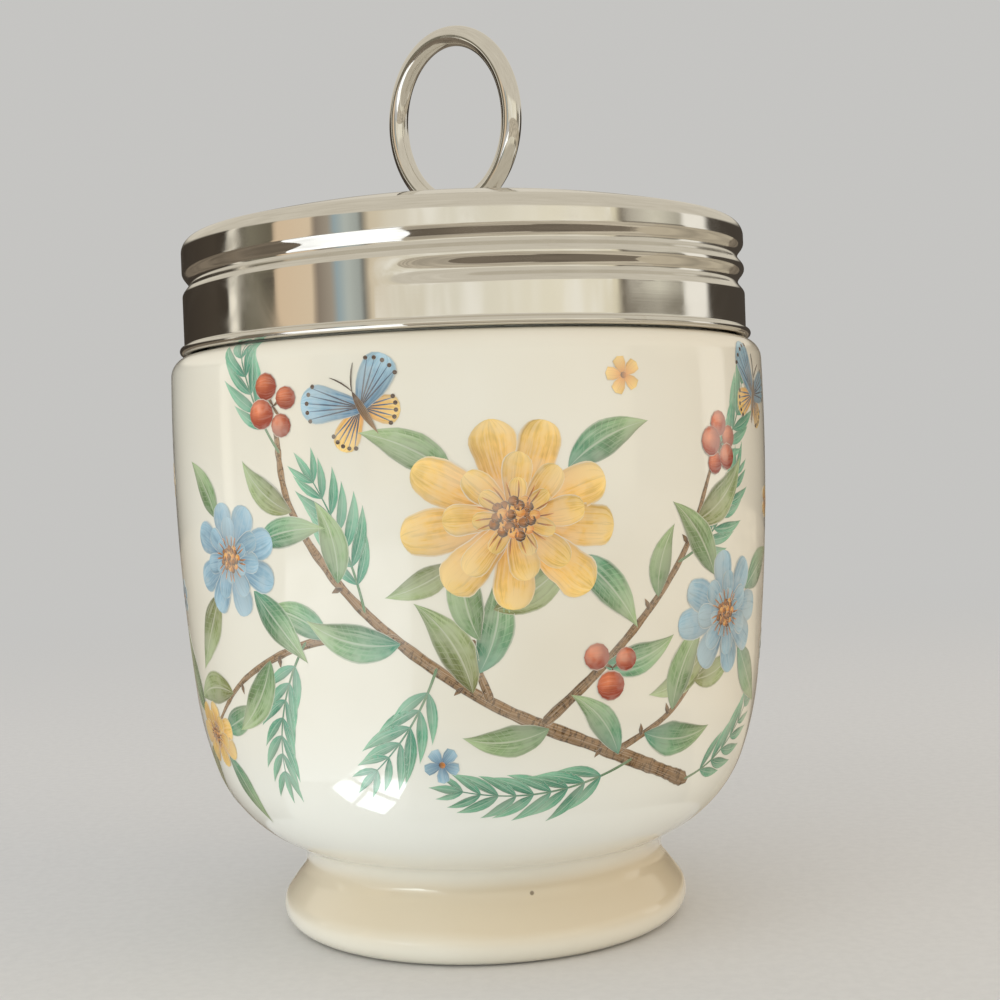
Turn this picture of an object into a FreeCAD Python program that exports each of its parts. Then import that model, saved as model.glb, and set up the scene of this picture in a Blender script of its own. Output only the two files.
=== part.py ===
import FreeCAD, Part
import math
import os
import Sketcher

# A porcelain egg coddler: a footed cup with a threaded neck, and a pressed metal
# screw lid whose finger ring is held by a stud and a washer.
# Millimetres. The origin is the centre of the ring that the foot stands on, +Z is up,
# and the decorated front faces -Y.

DOC = FreeCAD.newDocument("egg_coddler")
SHEET = DOC.addObject("Spreadsheet::Sheet", "sizes")

SIZES = [
    # cup, outside
    ("body_radius", 29.0),          # at the widest girth
    ("girth_height", 47.4),         # height of the widest girth
    ("side_curve", 214.6),          # radius of the long side curve
    ("side_end_height", 23.2),      # where the side curve meets the belly curve
    ("belly_curve", 32.1),
    ("bowl_curve", 12.67),
    ("waist_radius", 17.65),
    ("waist_curve", 2.4),
    ("waist_rise", 4.48),           # centre of the waist's curve above that of the foot's
    ("foot_radius", 20.0),
    ("foot_curve", 2.0),
    ("shoulder_height", 55.7),
    ("shoulder_curve", 2.0),
    # cup, inside and underneath
    ("wall", 3.6),
    ("floor_curve", 80.0),
    ("neck_wall", 3.2),
    ("bore_drop", 0.5),             # from the shoulder down to the end of the straight bore
    ("bore_curve", 2.0),
    ("foot_wall", 5.0),             # from the foot's outside in to the recess
    ("recess_depth", 5.8),
    ("recess_curve", 1.5),
    ("foot_edge_curve", 0.8),
    ("neck_fillet", 0.5),
    ("rim_curve", 1.2),
    # lid
    ("lid_inset", 1.45),            # from the cup's widest girth in to the lid's side
    ("lid_sheet", 0.5),
    ("lid_side_height", 9.78),      # from the lower edge to the start of the top corner
    ("lid_corner", 1.4),
    ("dome_radius", 107.0),
    ("bead_curve", 0.4),
    ("bead_proud", 0.45),
    ("dimple_radius", 4.0),
    ("dimple_depth", 1.45),
    # screw thread: rolled in the lid, moulded on the neck
    ("screw_pitch", 2.5),
    ("screw_turns", 1.4),
    ("screw_start", -85.0),         # azimuth in degrees where the lower end starts
    ("screw_runout", 20.0),         # degrees over which each end fades out
    ("screw_mid_height", 6.58),     # above the lid's lower edge
    ("neck_turns", 1.25),
    ("neck_lead", 180.0),           # degrees that the neck's thread starts before the lid's
    ("groove_depth", 1.0),
    ("groove_nose", 0.45),
    ("thread_crest", 0.2),          # half of the width of the neck thread's crest
    # finger ring, stud and washer
    ("ring_radius", 8.15),          # to the middle of the wire
    ("wire_radius", 0.975),
    ("ring_turn", 45.8),            # degrees from the front plane
    ("ring_lean", 5.0),             # degrees from upright, out of the ring's own plane
    ("saddle_web", 0.5),
    ("head_radius", 3.0),
    ("head_height", 1.4),
    ("shank_radius", 1.5),
    ("washer_radius", 3.6),
    ("washer_thickness", 0.8),
    ("tail_radius", 2.4),
    ("tail_height", 0.8),
    ("edge_break", 0.3),            # chamfer on the stud's head and tail
    # clearances
    ("skirt_gap", 0.12),            # lid's lower edge above the shoulder
    ("rim_gap", 0.12),              # lid's underside above the rim
    ("neck_gap", 0.65),             # inside of the lid's thread to the neck
    ("thread_gap", 0.2),            # between the flanks of the two threads
    ("shank_gap", 0.05),            # stud in its holes, on the radius
    ("braze_gap", 0.03),            # ring in its saddle
]

FLANK = math.radians(30.0)          # slope of the thread's flanks from the radius
DIMPLE_SLOPE = 45.0                 # degrees
BORE_SLOPE = 45.0                   # degrees
SPINE_STEP = 7.5                    # degrees between the points of a thread's spine
HALF_TURN_SHARE = 0.49              # most of the pitch that half of a thread's section takes


def fill_sheet():
    for row, (alias, value) in enumerate(SIZES, start=1):
        SHEET.set("A%d" % row, alias)
        SHEET.set("B%d" % row, repr(value))
        SHEET.setAlias("B%d" % row, alias)
    DOC.recompute()


def size(alias):
    return float(SHEET.get(alias))


# Fits that more than one piece follows, as expressions on the sheet's cells.
LID_RADIUS = "(sizes.body_radius - sizes.lid_inset)"
NECK_RADIUS = "(%s - sizes.lid_sheet - sizes.groove_depth - sizes.neck_gap)" % LID_RADIUS
BORE_END = "(sizes.shoulder_height - sizes.bore_drop)"
RECESS_RADIUS = "(sizes.foot_radius - sizes.foot_wall)"
LID_BOTTOM = "(sizes.shoulder_height + sizes.skirt_gap)"
LID_SIDE_TOP = "(%s + sizes.lid_side_height)" % LID_BOTTOM
LID_HOLLOW_BOTTOM = "(%s - sizes.lid_sheet)" % LID_BOTTOM
DOME_CENTRE = (
    "(%s - sqrt((sizes.dome_radius - sizes.lid_corner)^2 - (%s - sizes.lid_corner)^2))"
    % (LID_SIDE_TOP, LID_RADIUS)
)
DIMPLE_FLOOR = "(%s + sizes.dome_radius - sizes.dimple_depth)" % DOME_CENTRE
RIM_HEIGHT = (
    "(%s + sqrt((sizes.dome_radius - sizes.lid_sheet)^2 - %s^2) - sizes.rim_gap)"
    % (DOME_CENTRE, NECK_RADIUS)
)
WASHER_TOP = "(%s - sizes.lid_sheet)" % DIMPLE_FLOOR
WASHER_BOTTOM = "(%s - sizes.washer_thickness)" % WASHER_TOP
STUD_HOLE_RADIUS = "(sizes.shank_radius + sizes.shank_gap)"
RING_FOOT = "(%s + sizes.saddle_web + sizes.wire_radius)" % DIMPLE_FLOOR
RING_OVERHANG = "(sizes.ring_radius * sin(sizes.ring_lean * 1 deg))"
RING_CENTRE = {
    "x": "-%s * sin(sizes.ring_turn * 1 deg)" % RING_OVERHANG,
    "y": "-%s * cos(sizes.ring_turn * 1 deg)" % RING_OVERHANG,
    "z": "%s + sizes.ring_radius * cos(sizes.ring_lean * 1 deg)" % RING_FOOT,
}


def value(expression):
    """The number that an expression on the sheet gives."""
    return float(SHEET.evalExpression(expression.replace("sizes.", "")))


class Outline:
    """A closed outline in a body's XZ plane: radius to the right, height up."""

    def __init__(self, body, name):
        self.sketch = body.newObject("Sketcher::SketchObject", name)
        plane = [f for f in body.Origin.OriginFeatures if f.Role == "XZ_Plane"][0]
        self.sketch.AttachmentSupport = [(plane, "")]
        self.sketch.MapMode = "FlatFace"
        self.edges = {}

    def line(self, name, start, end):
        edge = Part.LineSegment(FreeCAD.Vector(*start, 0), FreeCAD.Vector(*end, 0))
        self.edges[name] = (self.sketch.addGeometry(edge, False), 1, 2)

    def guide(self, name, start, end):
        edge = Part.LineSegment(FreeCAD.Vector(*start, 0), FreeCAD.Vector(*end, 0))
        self.edges[name] = (self.sketch.addGeometry(edge, True), 1, 2)

    def arc(self, name, centre, start, end, clockwise=False):
        radius = math.dist(centre, start)
        turn_start = math.atan2(start[1] - centre[1], start[0] - centre[0])
        turn_end = math.atan2(end[1] - centre[1], end[0] - centre[0])
        if clockwise:
            turn_start, turn_end = turn_end, turn_start
        if turn_end < turn_start:
            turn_end += 2 * math.pi
        circle = Part.Circle(FreeCAD.Vector(*centre, 0), FreeCAD.Vector(0, 0, 1), radius)
        edge = Part.ArcOfCircle(circle, turn_start, turn_end)
        order = (2, 1) if clockwise else (1, 2)
        self.edges[name] = (self.sketch.addGeometry(edge, False), *order)

    def add(self, *parts):
        return self.sketch.addConstraint(Sketcher.Constraint(*parts))

    def join(self, first, second):
        one = self.edges[first]
        two = self.edges[second]
        self.add("Coincident", one[0], one[2], two[0], two[1])

    def smooth(self, first, second):
        one = self.edges[first]
        two = self.edges[second]
        self.add("Tangent", one[0], one[2], two[0], two[1])

    def level(self, name):
        self.add("Horizontal", self.edges[name][0])

    def upright(self, name):
        self.add("Vertical", self.edges[name][0])

    def point(self, name, place):
        geometry, start, end = self.edges[name]
        return geometry, {"start": start, "end": end, "centre": 3}[place]

    def on_axis(self, name, place):
        self.add("PointOnObject", *self.point(name, place), -2)

    def bind(self, kind, label, expression, *parts):
        index = self.add(kind, *parts, value(expression))
        self.sketch.renameConstraint(index, label)
        self.sketch.setExpression("Constraints." + label, expression)

    def radius(self, name, label, expression):
        self.bind("Radius", label, expression, self.edges[name][0])

    def across(self, name, place, label, expression):
        self.bind("DistanceX", label, expression, -1, 1, *self.point(name, place))

    def height(self, name, place, label, expression):
        self.bind("DistanceY", label, expression, -1, 1, *self.point(name, place))

    def same_centre(self, first, second):
        self.add("Coincident", *self.point(first, "centre"), *self.point(second, "centre"))


def revolve(body, outline):
    turned = body.newObject("PartDesign::Revolution", outline.sketch.Name + "_turned")
    turned.Profile = outline.sketch
    turned.ReferenceAxis = (outline.sketch, ["V_Axis"])
    turned.Angle = 360.0
    outline.sketch.Visibility = False
    return turned


def new_body(name):
    body = DOC.addObject("PartDesign::Body", name)
    body.Label = name
    return body


def along(start, towards, distance):
    """The point at a distance from start, in the direction of towards."""
    length = math.dist(start, towards)
    return tuple(a + (b - a) * distance / length for a, b in zip(start, towards))


# ---------------------------------------------------------------- cup

def touching_centre(low, low_reach, high, high_reach):
    """The point at given distances from two others, on the right of the way up."""
    span = math.dist(low, high)
    part_way = (span ** 2 + low_reach ** 2 - high_reach ** 2) / (2 * span)
    aside = math.sqrt(low_reach ** 2 - part_way ** 2)
    ahead = ((high[0] - low[0]) / span, (high[1] - low[1]) / span)
    return (low[0] + part_way * ahead[0] + aside * ahead[1],
            low[1] + part_way * ahead[1] - aside * ahead[0])


def tangent_points(low, low_radius, high, high_radius):
    """Ends of the line that passes between two circles and touches each once."""
    span = math.dist(low, high)
    heading = math.atan2(high[1] - low[1], high[0] - low[0])
    opening = math.acos((low_radius + high_radius) / span)
    turn = heading - opening
    one = (low[0] + low_radius * math.cos(turn), low[1] + low_radius * math.sin(turn))
    two = (high[0] - high_radius * math.cos(turn), high[1] - high_radius * math.sin(turn))
    return one, two


def cup_outside(outline):
    side = (size("body_radius") - size("side_curve"), size("girth_height"))
    drop = size("girth_height") - size("side_end_height")
    side_end = (
        side[0] + math.sqrt(size("side_curve") ** 2 - drop ** 2),
        size("side_end_height"),
    )
    belly = along(side_end, side, size("belly_curve"))
    foot = (size("foot_radius") - size("foot_curve"), size("foot_curve"))
    waist = (size("waist_radius") + size("waist_curve"), foot[1] + size("waist_rise"))
    bowl = touching_centre(waist, size("bowl_curve") + size("waist_curve"),
                           belly, size("belly_curve") - size("bowl_curve"))
    belly_end = along(belly, bowl, size("belly_curve"))
    bowl_end = along(waist, bowl, size("waist_curve"))
    foot_end, flare_end = tangent_points(
        foot, size("foot_curve"), waist, size("waist_curve"))
    shoulder_z = size("shoulder_height") - size("shoulder_curve")
    inner_reach = size("side_curve") - size("shoulder_curve")
    shoulder = (
        side[0] + math.sqrt(inner_reach ** 2 - (shoulder_z - side[1]) ** 2),
        shoulder_z,
    )
    side_top = along(side, shoulder, size("side_curve"))
    shoulder_top = (shoulder[0], size("shoulder_height"))
    neck = value(NECK_RADIUS)
    fillet = size("neck_fillet")
    rim = value(RIM_HEIGHT)
    ledge_end = (neck + fillet, size("shoulder_height"))
    neck_low = (neck, size("shoulder_height") + fillet)
    neck_high = (neck, rim - size("rim_curve"))
    rim_out = (neck - size("rim_curve"), rim)

    outline.arc("foot", foot, (foot[0], 0.0), foot_end)
    outline.line("flare", foot_end, flare_end)
    outline.arc("waist", waist, flare_end, bowl_end, clockwise=True)
    outline.arc("bowl", bowl, bowl_end, belly_end)
    outline.arc("belly", belly, belly_end, side_end)
    outline.arc("side", side, side_end, side_top)
    outline.arc("shoulder", shoulder, side_top, shoulder_top)
    outline.line("ledge", shoulder_top, ledge_end)
    outline.arc("neck_root", (ledge_end[0], neck_low[1]), ledge_end, neck_low, clockwise=True)
    outline.line("neck", neck_low, neck_high)
    outline.arc("rim_outer", (rim_out[0], neck_high[1]), neck_high, rim_out)
    chain = ["foot", "flare", "waist", "bowl", "belly", "side", "shoulder", "ledge",
             "neck_root", "neck", "rim_outer"]
    for first, second in zip(chain, chain[1:]):
        outline.smooth(first, second)
    outline.level("ledge")
    outline.upright("neck")
    for name, alias in (("foot", "foot_curve"), ("waist", "waist_curve"),
                        ("bowl", "bowl_curve"), ("belly", "belly_curve"),
                        ("side", "side_curve"), ("shoulder", "shoulder_curve"),
                        ("neck_root", "neck_fillet"), ("rim_outer", "rim_curve")):
        outline.radius(name, name + "_round", "sizes." + alias)
    outline.across("foot", "centre", "foot_reach", "sizes.foot_radius - sizes.foot_curve")
    outline.across("waist", "centre", "waist_reach", "sizes.waist_radius + sizes.waist_curve")
    outline.across("side", "centre", "side_reach", "sizes.body_radius - sizes.side_curve")
    outline.height("side", "centre", "girth", "sizes.girth_height")
    outline.height("side", "start", "side_low", "sizes.side_end_height")
    outline.height("waist", "centre", "waist_level", "sizes.foot_curve + sizes.waist_rise")
    outline.height("ledge", "start", "ledge_level", "sizes.shoulder_height")
    outline.across("neck", "start", "neck_reach", NECK_RADIUS)
    outline.height("rim_outer", "end", "rim_level", RIM_HEIGHT)
    return {"side": side, "side_end": side_end, "belly": belly, "belly_end": belly_end,
            "bowl": bowl, "rim_out": rim_out}


def cup_inside(outline, marks):
    wall = size("wall")
    bore = value(NECK_RADIUS) - size("neck_wall")
    rim = value(RIM_HEIGHT)
    rim_in = (bore + size("rim_curve"), rim)
    bore_high = (bore, rim - size("rim_curve"))
    bore_low = (bore, value(BORE_END))
    curve = size("bore_curve")
    slope = math.radians(BORE_SLOPE)
    upper = (bore + curve, bore_low[1])
    slope_start = (upper[0] - curve * math.sin(slope), upper[1] - curve * math.cos(slope))
    side_reach = size("side_curve") - wall
    lower_reach = side_reach - curve
    across = marks["side"][0] + lower_reach
    drop = (across + curve * math.sin(slope) - slope_start[0]) * math.tan(slope)
    lower = (across, slope_start[1] - drop - curve * math.cos(slope))
    slope_end = (lower[0] + curve * math.sin(slope), lower[1] + curve * math.cos(slope))
    side_in_top = along(marks["side"], lower, side_reach)
    side_in_end = along(marks["side_end"], marks["side"], wall)
    belly_in_end = along(marks["belly_end"], marks["belly"], wall)
    bowl_in = size("bowl_curve") - wall
    floor_reach = size("floor_curve") - bowl_in
    floor_centre = (
        0.0,
        marks["bowl"][1] + math.sqrt(floor_reach ** 2 - marks["bowl"][0] ** 2),
    )
    floor_edge = along(floor_centre, marks["bowl"], size("floor_curve"))
    floor_middle = (0.0, floor_centre[1] - size("floor_curve"))

    outline.line("rim", marks["rim_out"], rim_in)
    outline.arc("rim_inner", (rim_in[0], bore_high[1]), rim_in, bore_high)
    outline.line("bore", bore_high, bore_low)
    outline.arc("bore_turn", upper, bore_low, slope_start)
    outline.line("bore_slope", slope_start, slope_end)
    outline.arc("side_turn", lower, slope_end, side_in_top, clockwise=True)
    outline.arc("side_in", marks["side"], side_in_top, side_in_end, clockwise=True)
    outline.arc("belly_in", marks["belly"], side_in_end, belly_in_end, clockwise=True)
    outline.arc("bowl_in", marks["bowl"], belly_in_end, floor_edge, clockwise=True)
    outline.arc("floor", floor_centre, floor_edge, floor_middle, clockwise=True)
    chain = ["rim_outer", "rim", "rim_inner", "bore", "bore_turn", "bore_slope",
             "side_turn", "side_in", "belly_in", "bowl_in", "floor"]
    for first, second in zip(chain, chain[1:]):
        outline.smooth(first, second)
    outline.guide("side_guide", marks["side"], marks["side_end"])
    outline.guide("belly_guide", marks["belly"], marks["belly_end"])
    for guide, arc, inner in (("side_guide", "side", "side_in"),
                              ("belly_guide", "belly", "belly_in")):
        outline.add("Coincident", *outline.point(guide, "start"), *outline.point(arc, "centre"))
        outline.add("Coincident", *outline.point(guide, "end"), *outline.point(arc, "start"))
        outline.add("PointOnObject", *outline.point(inner, "end"), outline.edges[guide][0])
    outline.same_centre("side_in", "side")
    outline.radius("side_in", "side_in_round", "sizes.side_curve - sizes.wall")
    outline.radius("belly_in", "belly_in_round", "sizes.belly_curve - sizes.wall")
    outline.radius("bowl_in", "bowl_in_round", "sizes.bowl_curve - sizes.wall")
    outline.radius("floor", "floor_round", "sizes.floor_curve")
    outline.radius("rim_inner", "rim_inner_round", "sizes.rim_curve")
    outline.radius("bore_turn", "bore_turn_round", "sizes.bore_curve")
    outline.radius("side_turn", "side_turn_round", "sizes.bore_curve")
    outline.upright("bore")
    outline.across("bore", "start", "bore_reach", NECK_RADIUS + " - sizes.neck_wall")
    outline.height("bore", "end", "bore_level", BORE_END)
    outline.add("Angle", outline.edges["bore_slope"][0], math.radians(-BORE_SLOPE))
    outline.on_axis("floor", "centre")
    outline.on_axis("floor", "end")
    return floor_middle


def cup_underneath(outline, floor_middle):
    recess = value(RECESS_RADIUS)
    depth = size("recess_depth")
    curve = size("recess_curve")
    edge = size("foot_edge_curve")
    ceiling_middle = (0.0, depth)
    ceiling_end = (recess - curve, depth)
    wall_top = (recess, depth - curve)
    wall_foot = (recess, edge)
    tread_in = (recess + edge, 0.0)
    tread_out = (size("foot_radius") - size("foot_curve"), 0.0)
    outline.line("centre", floor_middle, ceiling_middle)
    outline.line("ceiling", ceiling_middle, ceiling_end)
    outline.arc("recess_corner", (ceiling_end[0], wall_top[1]), ceiling_end, wall_top,
                clockwise=True)
    outline.line("recess_wall", wall_top, wall_foot)
    outline.arc("foot_edge", (tread_in[0], edge), wall_foot, tread_in)
    outline.line("tread", tread_in, tread_out)
    outline.join("floor", "centre")
    outline.join("centre", "ceiling")
    chain = ["ceiling", "recess_corner", "recess_wall", "foot_edge", "tread", "foot"]
    for first, second in zip(chain, chain[1:]):
        outline.smooth(first, second)
    outline.upright("centre")
    outline.level("ceiling")
    outline.upright("recess_wall")
    outline.level("tread")
    outline.radius("recess_corner", "recess_round", "sizes.recess_curve")
    outline.radius("foot_edge", "foot_edge_round", "sizes.foot_edge_curve")
    outline.height("ceiling", "start", "recess_level", "sizes.recess_depth")
    outline.across("recess_wall", "start", "recess_reach", RECESS_RADIUS)
    outline.height("tread", "start", "tread_level", "0 mm")


def make_cup():
    body = new_body("cup_turned")
    outline = Outline(body, "cup_outline")
    marks = cup_outside(outline)
    floor_middle = cup_inside(outline, marks)
    cup_underneath(outline, floor_middle)
    revolve(body, outline)
    thread = DOC.addObject("Part::Feature", "neck_thread")
    thread.Shape = neck_thread()
    cup = DOC.addObject("Part::Fuse", "cup")
    cup.Base = body
    cup.Tool = thread
    cup.Label = "cup"
    return cup


# ---------------------------------------------------------------- screw thread

def thread_sizes():
    """The lid's radius, and the rolled thread's outside and inside its sheet."""
    lid = value(LID_RADIUS)
    groove_nose = lid - size("groove_depth")
    ridge_nose = groove_nose - size("lid_sheet")
    return lid, groove_nose, ridge_nose


def overrun():
    """How far a thread's section passes the surface that it is cut from or fused to."""
    return size("lid_sheet")


def flank_height(nose_at, nose, radius):
    """Half of a rolled thread's height at a radius, for a rounded nose."""
    touch = nose_at + nose - nose * math.sin(FLANK)
    return nose * math.cos(FLANK) + math.tan(FLANK) * (radius - touch)


def rolled_section(nose_at, nose, outer):
    """A rounded nose that points to the axis, with straight flanks behind it."""
    limit = HALF_TURN_SHARE * size("screw_pitch")
    touch_across = nose_at + nose - nose * math.sin(FLANK)
    touch_up = nose * math.cos(FLANK)
    bend_up = min(limit, flank_height(nose_at, nose, outer))
    bend_across = touch_across + (bend_up - touch_up) / math.tan(FLANK)
    tip = FreeCAD.Vector(nose_at, 0, 0)
    low = [(touch_across, -touch_up), (bend_across, -bend_up)]
    if outer - bend_across > 0.001:
        low.append((outer, -bend_up))
    low = [FreeCAD.Vector(across, 0, up) for across, up in low]
    high = [FreeCAD.Vector(point.x, 0, -point.z) for point in low]
    edges = [Part.Arc(low[0], tip, high[0]).toShape()]
    loop = list(reversed(low)), high
    edges += [Part.makeLine(a, b) for a, b in zip(loop[0], loop[0][1:])]
    edges += [Part.makeLine(a, b) for a, b in zip(loop[1], loop[1][1:])]
    edges.append(Part.makeLine(high[-1], low[-1]))
    return Part.Wire(Part.__sortEdges__(edges))


def neck_section():
    """The neck's thread: a blunt crest that fills the space between the lid's turns."""
    lid, _, ridge_nose = thread_sizes()
    nose = size("groove_nose") + size("lid_sheet")
    neck = value(NECK_RADIUS)
    crest_up = size("thread_crest")
    space = size("screw_pitch") / 2 - size("thread_gap") / math.cos(FLANK)
    free_crest = neck + (space - flank_height(ridge_nose, nose, neck) - crest_up) / math.tan(FLANK)
    crest = min(free_crest, lid - size("lid_sheet") - size("thread_gap"))
    root = neck - overrun()
    limit = HALF_TURN_SHARE * size("screw_pitch")
    root_up = min(crest_up + math.tan(FLANK) * (crest - root), limit)
    corners = [(root, -root_up), (crest, -crest_up), (crest, crest_up), (root, root_up)]
    points = [FreeCAD.Vector(across, 0, up) for across, up in corners]
    return Part.makePolygon(points + points[:1]), crest - neck


def runout(past_end):
    """0 along the full thread, rising smoothly to 1 at the end of each run-out."""
    past = max(past_end, 0.0) / size("screw_runout")
    return past * past * (3 - 2 * past)


def screw_spine(radius, retreat, first, turns, lift):
    """A helix whose ends leave its cylinder, outwards for a positive retreat.

    first is where the full thread starts, in degrees from the start of the lid's."""
    fade = size("screw_runout")
    whole = 360.0 * turns + 2 * fade
    low = value(LID_BOTTOM) + size("screw_mid_height") + lift
    low -= size("screw_pitch") * size("screw_turns") / 2
    steps = int(round(whole / SPINE_STEP))
    points = []
    for step in range(steps + 1):
        along_thread = step * whole / steps - fade
        reach = radius + retreat * runout(max(-along_thread, along_thread - 360.0 * turns))
        degrees = first + along_thread
        turn = math.radians(size("screw_start") + degrees)
        height = low + size("screw_pitch") * degrees / 360.0
        points.append(FreeCAD.Vector(reach * math.cos(turn), reach * math.sin(turn), height))
    curve = Part.BSplineCurve()
    curve.interpolate(points)
    return curve


def sweep_thread(section, radius, retreat, first, turns, lift):
    """Sweeps a section, drawn upright in the XZ plane, along the screw's spine."""
    spine = screw_spine(radius, retreat, first, turns, lift)
    start = spine.value(spine.FirstParameter)
    turn = size("screw_start") + first - size("screw_runout")
    place = FreeCAD.Placement(
        FreeCAD.Vector(start.x, start.y, start.z),
        FreeCAD.Rotation(FreeCAD.Vector(0, 0, 1), turn),
        FreeCAD.Vector(0, 0, 0))
    local = section.copy()
    local.translate(FreeCAD.Vector(-radius, 0, 0))
    local.Placement = place.multiply(local.Placement)
    pipe = Part.BRepOffsetAPI.MakePipeShell(Part.Wire(spine.toShape()))
    pipe.setBiNormalMode(FreeCAD.Vector(0, 0, 1))
    pipe.add(local)
    if not pipe.isReady():
        raise RuntimeError("a thread's sweep is not ready")
    pipe.build()
    pipe.makeSolid()
    swept = pipe.shape()
    if swept.Volume < 0:
        swept.reverse()
    return swept


def rolled_thread(nose_at, nose, outer):
    retreat = size("groove_depth") + overrun()
    section = rolled_section(nose_at, nose, outer + overrun())
    return sweep_thread(section, nose_at, retreat, 0.0, size("screw_turns"), 0.0)


def neck_thread():
    section, crest = neck_section()
    neck = value(NECK_RADIUS)
    retreat = -(crest + size("thread_gap"))
    lift = size("screw_pitch") / 2
    return sweep_thread(section, neck, retreat, -size("neck_lead"), size("neck_turns"), lift)


# ---------------------------------------------------------------- lid

def lid_form(name, sheet, radius, bottom, bead):
    """A solid with the lid's outer form, or with that form less the sheet's thickness."""
    body = new_body(name)
    outline = Outline(body, name + "_outline")
    reach = value(radius)
    low = value(bottom)
    side_top = value(LID_SIDE_TOP)
    corner = size("lid_corner") - (size("lid_sheet") if sheet else 0.0)
    dome = size("dome_radius") - (size("lid_sheet") if sheet else 0.0)
    dome_centre = (0.0, value(DOME_CENTRE))
    corner_centre = (reach - corner, side_top)
    corner_end = along(dome_centre, corner_centre, dome)
    slope = math.radians(DIMPLE_SLOPE)
    shift = size("lid_sheet") * math.tan(slope / 2) if sheet else 0.0
    floor = (size("dimple_radius") + shift, value(DIMPLE_FLOOR) - (size("lid_sheet") if sheet else 0))
    # the dimple's wall meets the dome where both have the same height
    offset = floor[1] - floor[0] - dome_centre[1]
    lip = (-offset + math.sqrt(2 * dome ** 2 - offset ** 2)) / 2
    dimple_top = (lip, floor[1] + (lip - floor[0]) * math.tan(slope))
    if bead:
        bead_centre = (reach + size("bead_proud") - size("bead_curve"), low + size("bead_curve"))
        off = reach - bead_centre[0]
        bead_top = (reach, bead_centre[1] + math.sqrt(size("bead_curve") ** 2 - off ** 2))
        outline.line("edge", (0.0, low), (bead_centre[0], low))
        outline.arc("bead", bead_centre, (bead_centre[0], low), bead_top)
        outline.line("skirt", bead_top, (reach, side_top))
        outline.smooth("edge", "bead")
        outline.join("bead", "skirt")
        outline.radius("bead", "bead_round", "sizes.bead_curve")
        outline.across("bead", "centre", "bead_reach",
                       radius + " + sizes.bead_proud - sizes.bead_curve")
    else:
        outline.line("edge", (0.0, low), (reach, low))
        outline.line("skirt", (reach, low), (reach, side_top))
        outline.join("edge", "skirt")
    outline.arc("corner", corner_centre, (reach, side_top), corner_end)
    outline.arc("dome", dome_centre, corner_end, dimple_top)
    outline.line("dimple_wall", dimple_top, floor)
    outline.line("dimple_floor", floor, (0.0, floor[1]))
    outline.line("centre", (0.0, floor[1]), (0.0, low))
    outline.smooth("skirt", "corner")
    outline.smooth("corner", "dome")
    for first, second in (("dome", "dimple_wall"), ("dimple_wall", "dimple_floor"),
                          ("dimple_floor", "centre"), ("centre", "edge")):
        outline.join(first, second)
    outline.level("edge")
    outline.upright("skirt")
    outline.level("dimple_floor")
    outline.upright("centre")
    less = " - sizes.lid_sheet" if sheet else ""
    outline.radius("corner", "corner_round", "sizes.lid_corner" + less)
    outline.radius("dome", "dome_round", "sizes.dome_radius" + less)
    outline.on_axis("dome", "centre")
    outline.on_axis("edge", "start")
    outline.height("edge", "start", "low_level", bottom)
    outline.across("skirt", "end", "side_reach", radius)
    outline.height("skirt", "end", "side_level", LID_SIDE_TOP)
    wall_angle = math.radians(DIMPLE_SLOPE - 180.0)
    outline.add("Angle", outline.edges["dimple_wall"][0], wall_angle)
    outline.height("dimple_floor", "start", "floor_level", DIMPLE_FLOOR + less)
    widened = " + sizes.lid_sheet * tan(%g / 2)" % DIMPLE_SLOPE if sheet else ""
    outline.across("dimple_floor", "start", "floor_reach", "sizes.dimple_radius" + widened)
    revolve(body, outline)
    return body


def cut(name, base, tool):
    result = DOC.addObject("Part::Cut", name)
    result.Base = base
    result.Tool = tool
    result.Label = name
    return result


def make_lid_shell():
    lid, groove_nose, ridge_nose = thread_sizes()
    outer = lid_form("lid_outer_form", False, LID_RADIUS, LID_BOTTOM, True)
    groove = DOC.addObject("Part::Feature", "rolled_groove")
    groove.Shape = rolled_thread(groove_nose, size("groove_nose"), lid)
    inner = lid_form("lid_inner_form", True, LID_RADIUS + " - sizes.lid_sheet",
                     LID_HOLLOW_BOTTOM, False)
    ridge = DOC.addObject("Part::Feature", "rolled_ridge")
    ridge.Shape = rolled_thread(
        ridge_nose, size("groove_nose") + size("lid_sheet"), lid - size("lid_sheet"))
    grooved = cut("lid_grooved", outer, groove)
    hollow = cut("lid_hollow", inner, ridge)
    blank = cut("lid_blank", grooved, hollow)
    hole = DOC.addObject("Part::Cylinder", "stud_hole")
    hole.setExpression("Radius", STUD_HOLE_RADIUS)
    # the hole's tool passes both faces of the sheet by the sheet's own thickness
    hole.setExpression("Height", "3 * sizes.lid_sheet")
    hole.setExpression("Placement.Base.z", DIMPLE_FLOOR + " - 2 * sizes.lid_sheet")
    return cut("lid_shell", blank, hole)


# ---------------------------------------------------------------- finger ring and its fixing

def leaning_ring(name, wire):
    """A ring of round wire that stands on the axis, turned from the front and leaning."""
    ring = DOC.addObject("Part::Torus", name)
    ring.Label = name
    ring.setExpression("Radius1", "sizes.ring_radius")
    ring.setExpression("Radius2", wire)
    ring.Placement.Rotation = (
        FreeCAD.Rotation(FreeCAD.Vector(0, 0, 1), -size("ring_turn"))
        * FreeCAD.Rotation(FreeCAD.Vector(1, 0, 0), 90 + size("ring_lean")))
    for axis, place in RING_CENTRE.items():
        ring.setExpression("Placement.Base." + axis, place)
    return ring


def make_finger_ring():
    return leaning_ring("finger_ring", "sizes.wire_radius")


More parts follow.
